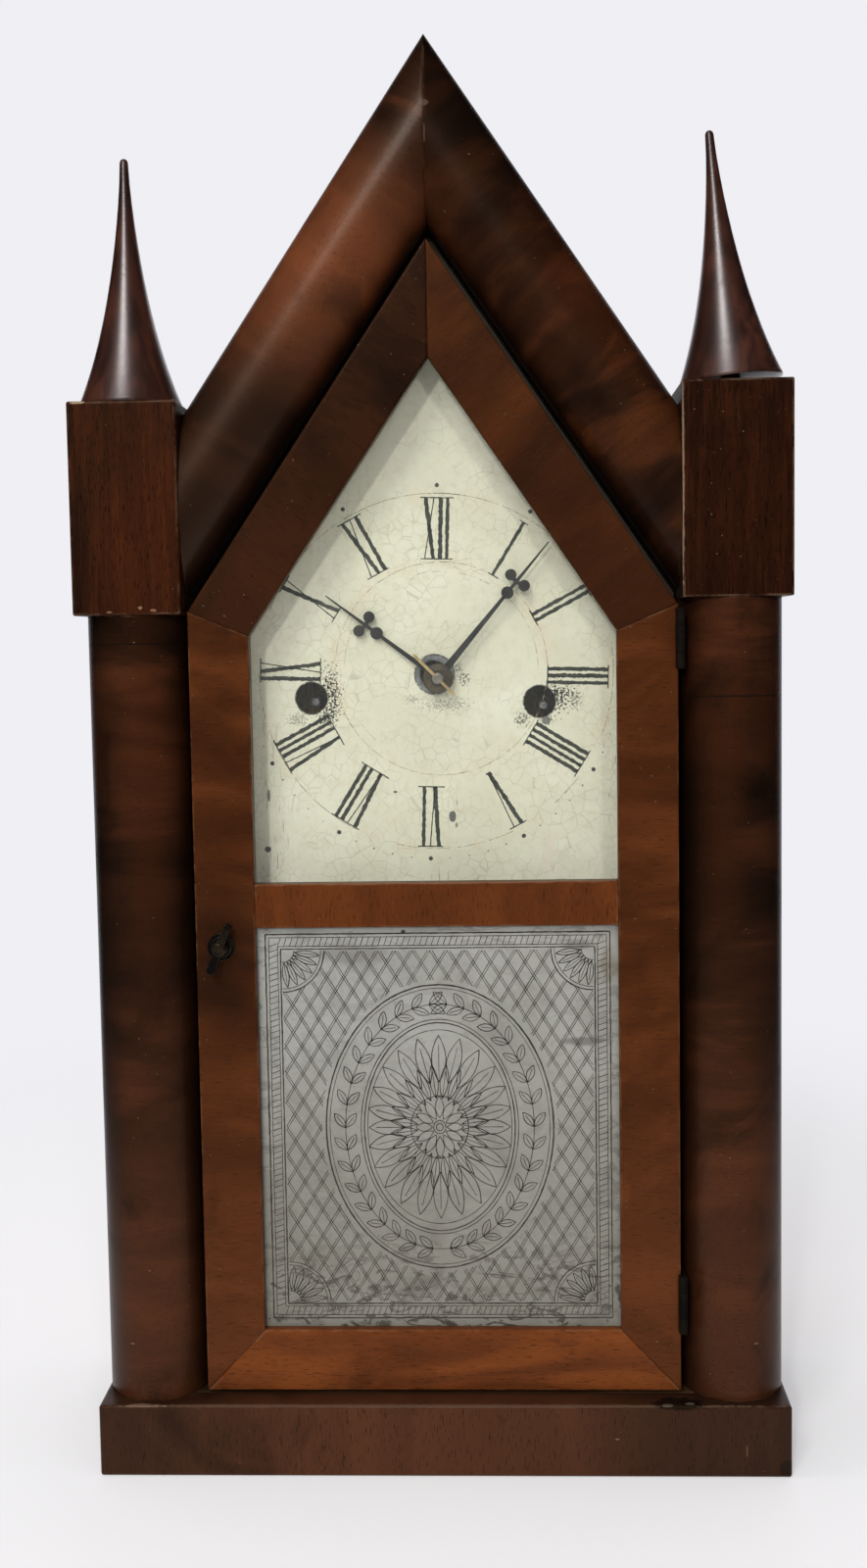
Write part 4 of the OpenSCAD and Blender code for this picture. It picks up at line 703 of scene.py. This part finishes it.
# Painted shade: the margin of the sheet hidden behind the door and the mouldings is painted near-black.
wide = abs(x)
under_gable = (PEAK - z) * math.sin(SLOPE) - wide * math.cos(SLOPE)
painted_shade_margin = (1.0 - under_gable.between(42, 52)).larger(wide.between(74, 79))
colour = (painted_shade_margin * 0.96).mix(colour, tint(22, 18, 14))
bare = None
for hole_at, hole_r in (
    (HOLE_AT, CENTRE_HOLE_R),
    (shifted(HOLE_AT, TIME_SQUARE), WINDING_HOLE_R),
    (shifted(HOLE_AT, STRIKE_SQUARE), WINDING_HOLE_R),
):
    lip = 1.0 - (reach_of(x, z, hole_at) - hole_r).between(0.15, 0.55)
    bare = lip if bare is None else bare.larger(lip)
patches = place.cloud(1.5, 2.0, 0.0, 3).between(0.35, 0.5)
colour = (bare * patches).mix(colour, tint(112, 112, 104))
place.feed(
    shader,
    {
        "Base Color": colour,
        "Roughness": grime * 0.15 + 0.46,
        "Metallic": bare * 0.3,
        "Normal": (grime * 0.02 - crack * 0.03 - speck * 0.03 - bare * 0.05).bump(),
    },
)
dress(["dial"], dial_paint)

# Chapter ring
# Roman numerals, minute dots and two hairline circles, drawn by hand in black on the paint. Thick
# strokes are rubbed at their edges, and the circles are nearly worn away.
DIAL_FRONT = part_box("dial")[0].y / MM
PAINT_LIFT = 0.01
chance = random.Random(7)


def round_from(centre, turn, across, tall=None):
    """The place on a circle or an oval, at turn clockwise from its top."""
    tall = across if tall is None else tall
    return (centre[0] + across * math.sin(turn), centre[1] + tall * math.cos(turn))


def stroke(points, faces, path, width, wobble=0.0, depth=DIAL_FRONT, step=0.8):
    """A flat stroke along path, a list of (x, z) in mm, with edges that wander by wobble."""
    stations = []
    for (x0, z0), (x1, z1) in zip(path, path[1:]):
        parts = max(1, round(math.hypot(x1 - x0, z1 - z0) / step))
        stations += [(x0 + (x1 - x0) * i / parts, z0 + (z1 - z0) * i / parts) for i in range(parts)]
    stations.append(path[-1])
    first = len(points)
    last = len(stations) - 1
    for i, (px, pz) in enumerate(stations):
        (ax, az), (bx, bz) = stations[max(i - 1, 0)], stations[min(i + 1, last)]
        along = math.hypot(bx - ax, bz - az) or 1.0
        nx, nz = (bz - az) / along, (ax - bx) / along
        for side in (-1, 1):
            half = side * width / 2 * (1 + wobble * (2 * chance.random() - 1))
            points.append(((px + nx * half) * MM, depth * MM, (pz + nz * half) * MM))
    for a in range(first, first + 2 * last, 2):
        faces.append((a, a + 1, a + 3, a + 2))


def thickened(name, points, faces, finish, body, thick=0.04):
    """The strokes as one thin layer of paint that stands proud of the face behind it."""
    made = new_piece(name, points, faces, finish)
    made.data.transform(Matrix.Translation((0, -(thick / 2 + PAINT_LIFT) * MM, 0)))
    layer = made.modifiers.new("layer", "SOLIDIFY")
    layer.thickness = thick * MM
    layer.offset = 0
    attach(made, body)


def ink(name, shade, worn_from, worn_to, size, seed, shine=0.5):
    """Old paint or ink: nearly black, greyed in places and rubbed through to what lies behind."""
    finish, shader, place = new_finish(name, shine, Specular_IOR_Level=0.3)
    grey = place.cloud(4, 3.0, 0.0, seed)
    rubbed = place.cloud(size, 3.0, 0.0, seed + 4, 0.7)
    pale = tint(*(min(255, 1.6 * c) for c in shade))
    place.feed(
        shader,
        {
            "Base Color": grey.ramp((0.35, tint(*shade)), (0.75, pale)),
            "Roughness": grey * 0.2 + (shine - 0.1),
            "Alpha": rubbed.between(worn_from, worn_to),
            "Normal": (rubbed * 0.02).bump(),
        },
    )
    return finish


NUMERAL_TURN = 1.8
NUMERAL_IN = 41.3
NUMERAL_OUT = 63.2
THICK = 1.35
THIN = 0.42
THICK_WOBBLE = 0.28
THIN_WOBBLE = 0.3
GAP = 2.45
FAN = 3.1
SERIF = 1.5
HOURS = ("I", "II", "III", "IIII", "V", "VI", "VII", "VIII", "IX", "X", "XI", "XII")
# The strokes of each letter, as where they end at the hub side and at the rim side of the ring,
# in mm along it, and whether they are thick
STROKES = {
    "I": ((0.0, 0.0, True),),
    "V": ((FAN * 0.55, 0.0, True), (FAN * 0.55, FAN, False)),
    "X": ((FAN, 0.0, True), (0.0, FAN, False)),
}


def penned(angle, along, out):
    """A place on the dial, out from its centre and along the ring, as a hand finds it."""
    along += 0.12 * (chance.random() - 0.5)
    return (
        DIAL_AT[0] + math.sin(angle) * out + math.cos(angle) * along,
        DIAL_AT[1] + math.cos(angle) * out - math.sin(angle) * along,
    )


points, faces = [], []
for hour, letters in enumerate(HOURS, 1):
    angle = math.radians(30 * hour + NUMERAL_TURN)
    spans = [0.0 if letter == "I" else FAN for letter in letters]
    total = sum(spans) + GAP * (len(letters) - 1)
    at = -total / 2
    for letter, span in zip(letters, spans):
        heavy = THICK * (0.85 + 0.3 * chance.random())
        for inner, outer, is_thick in STROKES[letter]:
            path = [penned(angle, at + inner, NUMERAL_IN), penned(angle, at + outer, NUMERAL_OUT)]
            if is_thick:
                stroke(points, faces, path, heavy, THICK_WOBBLE)
            else:
                stroke(points, faces, path, THIN, THIN_WOBBLE)
        at += span + GAP
    for out in (NUMERAL_IN, NUMERAL_OUT):
        low = -total / 2 - SERIF - 0.6 * chance.random()
        high = total / 2 + SERIF + 0.8 * chance.random()
        if out == NUMERAL_IN and letters == "V":
            low, high = -0.6, 1.4
        stroke(points, faces, [penned(angle, low, out), penned(angle, high, out)], THIN, THIN_WOBBLE)
numeral_ink = ink("numeral_ink", (42, 44, 38), 0.26, 0.38, 0.8, 11)
thickened("dial_numerals", points, faces, numeral_ink, "case")

MINUTE_R = 67.7
HOUR_DOT = 0.8
DOT_SIDES = 14
SIDE_DOTS = 64
WORN_ABOVE = 330
points, faces = [], []
for minute in range(60):
    centre = round_from(DIAL_AT, math.radians(6 * minute + NUMERAL_TURN), MINUTE_R)
    on_hour = minute % 5 == 0
    radius = HOUR_DOT if on_hour else 0.2 + 0.12 * chance.random()
    if abs(centre[0]) > SIDE_DOTS or (centre[1] > WORN_ABOVE and not on_hour):
        continue
    first = len(points)
    for i in range(DOT_SIDES):
        turn = math.tau * i / DOT_SIDES
        size = radius * (1 + 0.12 * (2 * chance.random() - 1))
        dot_x = centre[0] + size * math.cos(turn)
        dot_z = centre[1] + size * math.sin(turn)
        points.append((dot_x * MM, DIAL_FRONT * MM, dot_z * MM))
    faces.append(tuple(range(first, first + DOT_SIDES)))
dot_ink = ink("dot_ink", (46, 48, 42), 0.2, 0.3, 0.8, 13)
thickened("minute_dots", points, faces, dot_ink, "case")

ARC_PARTS = 8
points, faces = [], []
for centre, radius, width, kept in (
    (RING_AT, RING_R, 0.22, 0.9),
    (RING_AT, 35.2, 0.2, 0.3),
    ((0.4, 287.2), 64.4, 0.26, 0.8),
):
    angle = 0.0
    while angle < 360:
        length = 6 + 16 * chance.random()
        if chance.random() < kept:
            turns = [math.radians(angle + length * i / ARC_PARTS) for i in range(ARC_PARTS + 1)]
            stroke(points, faces, [round_from(centre, turn, radius) for turn in turns], width, 0.4)
        angle += length + 1.5 * chance.random()
line_ink = ink("circle_ink", (142, 136, 112), 0.42, 0.66, 1.6, 17)
thickened("dial_circles", points, faces, line_ink, "case")

# Hands, arbor and the metals of the movement
# Steel hands blued in the fire, held by a dark domed collet and a brass pin through the arbor,
# and the brass wheels and steel arbors of the movement. All of it is dull and brown with age.


def metal(
    name, shade, tarnish, shine=0.35, cover=0.45, grain=(0.5, 0.5, 14.0), seed=0.0, metallic=0.95,
    gloss=0.5, bare=None,
):
    """Old metal, brushed along grain and covered with tarnish. With bare, which takes the place's axes
    and gives a mask, the rest of the piece is made dark: painted shade on the winding arbors."""
    finish, shader, place = new_finish(name, shine, Metallic=metallic, Specular_IOR_Level=gloss)
    brushed = place.cloud(grain, 3.0, 0.0, seed)
    film = place.cloud(9, 5.0, 0.6, seed + 2, 0.62)
    pit = place.cloud(0.8, 3.0, 0.0, seed + 6, 0.7).between(0.6, 0.72)
    near, rounded = edge_of(place, 0.35)
    rubbed = near.between(0.01, 0.12)
    grime = film.between(0.5 - cover * 0.4, 0.78 - cover * 0.2) * (1.0 - rubbed * 0.8)
    grime = grime.larger(pit * 0.3)
    bright = tint(*(min(255, 1.12 * c) for c in shade))
    colour = brushed.between(0.3, 0.7).mix(tint(*(0.86 * c for c in shade)), bright)
    # Outside bare the piece is made dark; on the winding arbors this is painted shade round a painted
    # highlight.
    if bare:
        grime = grime.larger(1.0 - bare(*place.axes()))
        tarnish = [0.36 * c for c in tarnish]
    place.feed(
        shader,
        {
            "Base Color": grime.mix(colour, tint(*tarnish)),
            "Roughness": (brushed * 0.16 + grime * 0.25) + (shine - 0.1),
            "Metallic": metallic - grime * 0.35,
            "Normal": (brushed * 0.02 - pit * 0.03).bump(Strength=0.6, Normal=rounded),
        },
    )
    return finish


HAND_AT = (1.4, 285.08)
HAND_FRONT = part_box("minute_hand")[0].y / MM
PIN_MIDDLE = HAND_FRONT - 0.74
WINDING_HIGHLIGHT_R = 1.0


def pin_front(x, y, z):
    """The half of the hand pin that faces the room."""
    return 1.0 - y.between(PIN_MIDDLE - 0.02, PIN_MIDDLE + 0.02)


def winding_highlight(x, y, z):
    """A painted highlight at the cores of the two winding arbors' ends; the rest is painted dark as shade.
    """
    time_reach = reach_of(x, z, shifted(HAND_AT, TIME_SQUARE))
    strike_reach = reach_of(x, z, shifted(HAND_AT, STRIKE_SQUARE))
    return 1.0 - time_reach.smaller(strike_reach).between(WINDING_HIGHLIGHT_R, WINDING_HIGHLIGHT_R + 0.35)


blued = metal(
    "blued_steel", (46, 47, 50), (58, 52, 46), shine=0.48, cover=0.3, grain=6, seed=101, metallic=0.5
)
dress(["minute_hand", "hour_hand"], blued, 0.12)
pin_brass = metal(
    "pin_brass", (206, 182, 128), (160, 130, 96), shine=0.34, cover=0.0, grain=4, seed=104,
    metallic=0.35, bare=pin_front,
)
dress(["hand_pin"], pin_brass)
brass = metal(
    "old_brass", (172, 134, 74), (86, 66, 38), shine=0.36, cover=0.55, grain=(0.5, 0.5, 16), seed=107
)
dress(["back_plate", "front_plate", "plate_pillars", "movement_feet", "pendulum_bob"], brass)
# The hinge leaves are near-black: dark tarnish, and painted shade where they sit in the door's gap.
hinge_tarnish_and_shade = metal(
    "hinge_brass_tarnish_and_painted_shade", (34, 24, 15), (13, 10, 8), shine=0.62, cover=0.8, grain=2, seed=109,
    metallic=0.25, gloss=0.1,
)
dress(["case_hinge_leaves", "door_hinge_leaves"], hinge_tarnish_and_shade)
wheel_brass = metal("wheel_brass", (184, 146, 82), (104, 78, 44), shine=0.3, cover=0.4, grain=1.2, seed=113)
dress(
    ["minute_wheel", "hour_wheel", "time_great_wheel", "third_wheel", "escape_wheel",
     "strike_great_wheel", "pin_wheel", "warning_wheel", "fly", "count_wheel"],
    wheel_brass,
)
steel = metal(
    "bright_steel", (158, 155, 153), (90, 80, 70), shine=0.3, cover=0.35, grain=(8, 0.5, 8), seed=119,
    metallic=0.7,
)
dress(
    ["time_mainspring", "strike_mainspring", "verge", "pendulum_rod", "strike_hammer", "count_lever",
     "gong_coil", "dial_pins"],
    steel,
)
arbor_brass = metal(
    "arbor_brass", (176, 172, 162), (104, 92, 70), shine=0.34, cover=0.3, grain=1, seed=139, metallic=0.6
)
dress(["centre_arbor"], arbor_brass)
winding_steel = metal(
    "winding_steel", (158, 155, 156), (96, 88, 82), shine=0.34, cover=0.2, grain=1, seed=121,
    metallic=0.6, bare=winding_highlight,
)
dress(["time_winding_arbor", "strike_winding_arbor"], winding_steel)
iron = metal(
    "dark_iron", (58, 45, 36), (38, 28, 22), shine=0.42, cover=0.5, grain=3, seed=127, metallic=0.75
)
dress(["gong_stand", "latch_tongue"], iron)
# Black iron whose bright shade shows only at rubbed edges: edge wear, and painted glints along the edges.
black_iron_edge_glints = metal(
    "black_iron_edge_glints", (86, 72, 52), (13, 10, 8), shine=0.26, cover=1.2, grain=3, seed=129, metallic=0.8,
    gloss=0.2,
)
dress(["latch_turn"], black_iron_edge_glints, 0.3)
dress(["latch_plate"], black_iron_edge_glints)


def turned_ring(name, centre, profile, finish, body, parts=64):
    """A ring turned about the dial's depth, from a profile of (radius, depth) in mm."""
    count = len(profile)
    spots = []
    cells = []
    for i in range(parts):
        turn = math.tau * i / parts
        here = count * i
        beyond = count * ((i + 1) % parts)
        for j, (radius, depth) in enumerate(profile):
            ring_x = centre[0] + radius * math.cos(turn)
            ring_z = centre[1] + radius * math.sin(turn)
            spots.append((ring_x * MM, depth * MM, ring_z * MM))
            next_j = (j + 1) % count
            cells.append((here + j, here + next_j, beyond + next_j, beyond + j))
    made = new_piece(name, spots, cells, finish)
    made.data.shade_smooth()
    made.data.validate()
    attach(made, body)


COLLET_R = 5.4
COLLET_HOLE_R = 1.75
COLLET_BACK = HAND_FRONT - 0.02
DOME_PARTS = 8
collet_bronze = metal(
    "collet_bronze", (104, 92, 68), (54, 48, 38), shine=0.3, cover=0.55, grain=1.4, seed=133, metallic=0.5
)
dome = [(radius, COLLET_BACK) for radius in (COLLET_HOLE_R, 3.6, COLLET_R)]
for i in range(DOME_PARTS + 1):
    inward = i / DOME_PARTS
    radius = COLLET_R - (COLLET_R - COLLET_HOLE_R) * inward
    dome.append((radius, HAND_FRONT - 0.12 - 0.56 * math.sin(math.pi / 2 * inward)))
turned_ring("hand_collet", HAND_AT, dome, collet_bronze, "minute_train")

WASHER_AT = (-0.4, 286.6)
DIAL_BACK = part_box("dial")[1].y / MM
tinned = metal(
    "tinned_washer", (150, 152, 150), (112, 114, 112), shine=0.5, cover=0.4, grain=2, seed=137,
    metallic=0.15,
)
flat = ((4.9, 0.1), (4.9, 0.6), (8.8, 0.6), (8.8, 0.02), (7.0, 0.02))
flat = [(radius, DIAL_BACK + depth) for radius, depth in flat]
turned_ring("dial_washer", WASHER_AT, flat, tinned, "case")

# Door glass
# Old window glass behind the upper opening, faintly smeared. The lower pane is frosted grey on
# its face, and its frosting is stained and worn along the foot.
clear_glass, shader, place = new_finish("clear_glass", 0.06, IOR=1.45)
smear = place.cloud((30, 30, 60), 4.0, 1.0, 3).between(0.5, 0.8)
dust = place.cloud(0.4, 2.0, 0.0, 6).between(0.7, 0.76)
place.feed(
    shader,
    {
        "Base Color": smear.mix(tint(200, 205, 196), tint(214, 214, 205)),
        "Roughness": smear * 0.15 + 0.05,
        "Alpha": smear * 0.03 + dust * 0.02 + 0.03,
    },
)
dress(["dial_glass"], clear_glass)

TABLET_Y = -39
PALE_CORNER = (-50.0, 192.0)
frosted, shader, place = new_finish("frosted_glass", 0.5, Specular_IOR_Level=0.3)
x, y, z = place.axes()
broad = place.cloud(34, 4.0, 0.8, 4)
colour = broad.ramp((0.3, tint(143, 142, 133)), (0.5, tint(156, 155, 146)), (0.72, tint(166, 165, 157)))
lower = 1.0 - z.between(62, 168)
colour = (lower * 0.46).mix(colour, tint(100, 93, 78))
corner = (1.0 - reach_of(x, z, PALE_CORNER).between(10, 70)) * 0.35
colour = corner.mix(colour, tint(166, 168, 162))
foot = 1.0 - z.between(62, 92)
rim = abs(x).between(54, 66).larger(1.0 - z.between(50, 60)).larger(z.between(186, 198) * 0.9)
stain = place.cloud((11, 11, 5), 5.0, 1.4, 8, 0.68)
dark = stain.between(0.51, 0.6) * (foot * 0.9 + rim * 0.4 + 0.16)
colour = (dark * 0.75).mix(colour, tint(74, 69, 61))
mist = place.cloud((16, 16, 11), 4.0, 0.8, 15).between(0.48, 0.7)
colour = (mist * 0.6 * (foot * 0.7 + 0.4)).mix(colour, tint(100, 96, 86))
pin_hole = place.cloud(0.5, 2.0, 0.0, 12).between(0.71, 0.76)
colour = (pin_hole * 0.7).mix(colour, tint(66, 62, 56))
scrape = place.turned(math.radians(28)).cloud((0.25, 1, 16), 1.5, 0.1, 16).between(0.69, 0.73)
colour = (scrape * 0.5).mix(colour, tint(96, 92, 84))
for x_at, z_at, across, tall, shade, strength in (
    (-12, 195.2, 0.8, 0.8, (50, 46, 42), 0.95),
    (50, 190, 5, 2, (96, 93, 86), 0.5),
    (-30, 187, 12, 3.5, (118, 116, 108), 0.5),
    (61, 182, 3, 6, (120, 108, 90), 0.5),
    (52, 155, 7, 1.6, (84, 80, 72), 0.6),
):
    spot = face_spot(place, TABLET_Y, x_at, z_at, across, tall, 0.6, 3.0, 0.4)
    colour = (spot * strength).mix(colour, tint(*shade))
place.feed(
    shader,
    {
        "Base Color": colour,
        "Roughness": 0.5 - dark * 0.25,
        "Normal": (place.cloud(0.3, 2.0) * 0.012 - dark * 0.02).bump(),
    },
)
dress(["tablet_glass"], frosted)

# Tablet engraving
# Plain ornament cut through the frosting, where the dark case shows: ruled borders with quarter
# rosettes, a lattice, and an oval with a wreath round a rosette. The cut lines are fine and uneven.
TABLET_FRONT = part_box("tablet_glass")[0].y / MM
# The part of the glass in sight
LEFT, RIGHT, FOOT, TOP = -63.2, 63.2, 51.6, 196.2
MIDDLE = ((LEFT + RIGHT) / 2, (FOOT + TOP) / 2)
HAIR = 0.24
FINE = 0.26
LINE = 0.34
BOLD = 0.5
points, faces = [], []


def cut(path, width=LINE):
    """One line through the frosting, of a slightly uneven width."""
    stroke(points, faces, path, width * (0.85 + 0.3 * chance.random()), 0.3, TABLET_FRONT, 1.6)


def oval(centre, across, tall, parts=96):
    return [round_from(centre, math.tau * i / parts, across, tall) for i in range(parts + 1)]


def leaf(root, angle, length, width, ribbed=True):
    """A pointed leaf: two bowed edges and, if ribbed, a middle rib."""
    for bow in (-width, width):
        edge = []
        for i in range(9):
            along = length * i / 8
            off = bow * math.sin(math.pi * i / 8) ** 0.9
            edge.append((
                root[0] + along * math.sin(angle) + off * math.cos(angle),
                root[1] + along * math.cos(angle) - off * math.sin(angle),
            ))
        cut(edge, 0.32)
    if ribbed:
        cut([root, round_from(root, angle, 0.8 * length)], HAIR)


# Four ruled frames, with slanting rungs between the second and the third
BAND = (2.8, 6.0)
RUNG = 2.1
SLANT = 1.1


def rungs(low, high):
    """Places from low to high, about a rung apart."""
    count = round((high - low) / RUNG)
    return [low + (high - low) * i / count for i in range(count + 1)]


for inset, width in ((1.6, BOLD), (BAND[0], FINE), (BAND[1], FINE), (7.0, 0.45)):
    corners = [
        (LEFT + inset, FOOT + inset),
        (RIGHT - inset, FOOT + inset),
        (RIGHT - inset, TOP - inset),
        (LEFT + inset, TOP - inset),
    ]
    for start, end in zip(corners, corners[1:] + corners[:1]):
        cut([start, end], width)
for px in rungs(LEFT + BAND[1], RIGHT - BAND[1]):
    for low, high in ((FOOT + BAND[0], FOOT + BAND[1]), (TOP - BAND[1], TOP - BAND[0])):
        cut([(px, low), (px + SLANT, high)], HAIR)
for pz in rungs(FOOT + BAND[1], TOP - BAND[1]):
    for low, high in ((LEFT + BAND[0], LEFT + BAND[1]), (RIGHT - BAND[1], RIGHT - BAND[0])):
        cut([(low, pz), (high, pz + SLANT)], HAIR)

# An oval frame of double rules, with a wreath of leaves in pairs on a stem
OVAL = (41.0, 52.0)
STEM_INSET = 7
LEAF_PAIRS = 34
stem = [radius - STEM_INSET for radius in OVAL]
for grow, width in ((0.0, BOLD), (-1.3, FINE), (-12.6, FINE), (-13.8, 0.45)):
    cut(oval(MIDDLE, OVAL[0] + grow, OVAL[1] + grow), width)
for i in range(LEAF_PAIRS):
    turn = math.tau * (i + 0.5) / LEAF_PAIRS
    heading = math.atan2(OVAL[0] * math.cos(turn), -OVAL[1] * math.sin(turn))
    if turn > math.pi:
        heading += math.pi
    for lean in (-0.65, 0.65):
        leaf(round_from(MIDDLE, turn, *stem), heading + math.pi + lean, length=6.6, width=1.35)
cut(oval(MIDDLE, *stem), 0.3)

# A rosette of three rings of petals, stretched upwards a little
for petals, inner, outer, width, shift in (
    (24, 12.5, 25.5, 2.6, 0.0),
    (24, 8.0, 17.5, 1.5, 0.5),
    (12, 2.6, 8.6, 1.5, 0.0),
):
    for i in range(petals):
        turn = math.tau * (i + shift) / petals
        stretch = 1 + 0.32 * abs(math.cos(turn))
        root = round_from(MIDDLE, turn, inner, inner * stretch)
        leaf(root, turn, (outer - inner) * stretch, width, petals == 24)
for radius in (2.2, 1.2, 10.4):
    cut(oval(MIDDLE, radius, radius * 1.1, parts=40))
cut(oval(MIDDLE, 26.0, 35.6), FINE)

# A lattice of double lines that fills the corners, and a quarter rosette in each corner
LATTICE = 6.2
LATTICE_LEAN = 0.62
TWIN = 0.9
LATTICE_LINES = 40
LATTICE_STEPS = 240
FIELD_INSET = 7.6
QUARTER_R = 15
field_x = (LEFT + FIELD_INSET, RIGHT - FIELD_INSET)
field_z = (FOOT + FIELD_INSET, TOP - FIELD_INSET)


def on_field(spot):
    """True in the corners of the panel, outside the oval and the quarter rosettes."""
    px, pz = spot
    if not (field_x[0] < px < field_x[1] and field_z[0] < pz < field_z[1]):
        return False
    if ((px - MIDDLE[0]) / (OVAL[0] + 1.4)) ** 2 + ((pz - MIDDLE[1]) / (OVAL[1] + 1.4)) ** 2 < 1:
        return False
    return all(math.hypot(px - cx, pz - cz) > QUARTER_R for cx in field_x for cz in field_z)


for lean in (-LATTICE_LEAN, LATTICE_LEAN):
    for line in range(-LATTICE_LINES, LATTICE_LINES + 1):
        for twin in (0.0, TWIN):
            path = []
            for i in range(LATTICE_STEPS + 1):
                pz = FOOT + (TOP - FOOT) * i / LATTICE_STEPS
                path.append((MIDDLE[0] + line * LATTICE + twin + lean * (pz - MIDDLE[1]), pz))
            for inside, run in itertools.groupby(path, on_field):
                spots = list(run)
                if inside and len(spots) > 2:
                    cut([spots[0], spots[-1]], HAIR)
for cx, sx in ((field_x[0], 1), (field_x[1], -1)):
    for cz, sz in ((field_z[0], 1), (field_z[1], -1)):
        for radius, width in ((QUARTER_R, 0.4), (13.8, HAIR), (4.2, LINE)):
            turns = [math.radians(90 * i / 20) for i in range(21)]
            cut([round_from((cx, cz), turn, sx * radius, sz * radius) for turn in turns], width)
        for i in range(6):
            turn = math.radians(7.5 + 15 * i)
            heading = math.atan2(sx * math.sin(turn), sz * math.cos(turn))
            leaf(round_from((cx, cz), turn, sx * 4.4, sz * 4.4), heading, length=9.0, width=1.15)
cut_line = ink("engraved_line", (46, 42, 37), 0.26, 0.42, 1.4, 29, 0.3)
thickened("tablet_engraving", points, faces, cut_line, "door", 0.02)
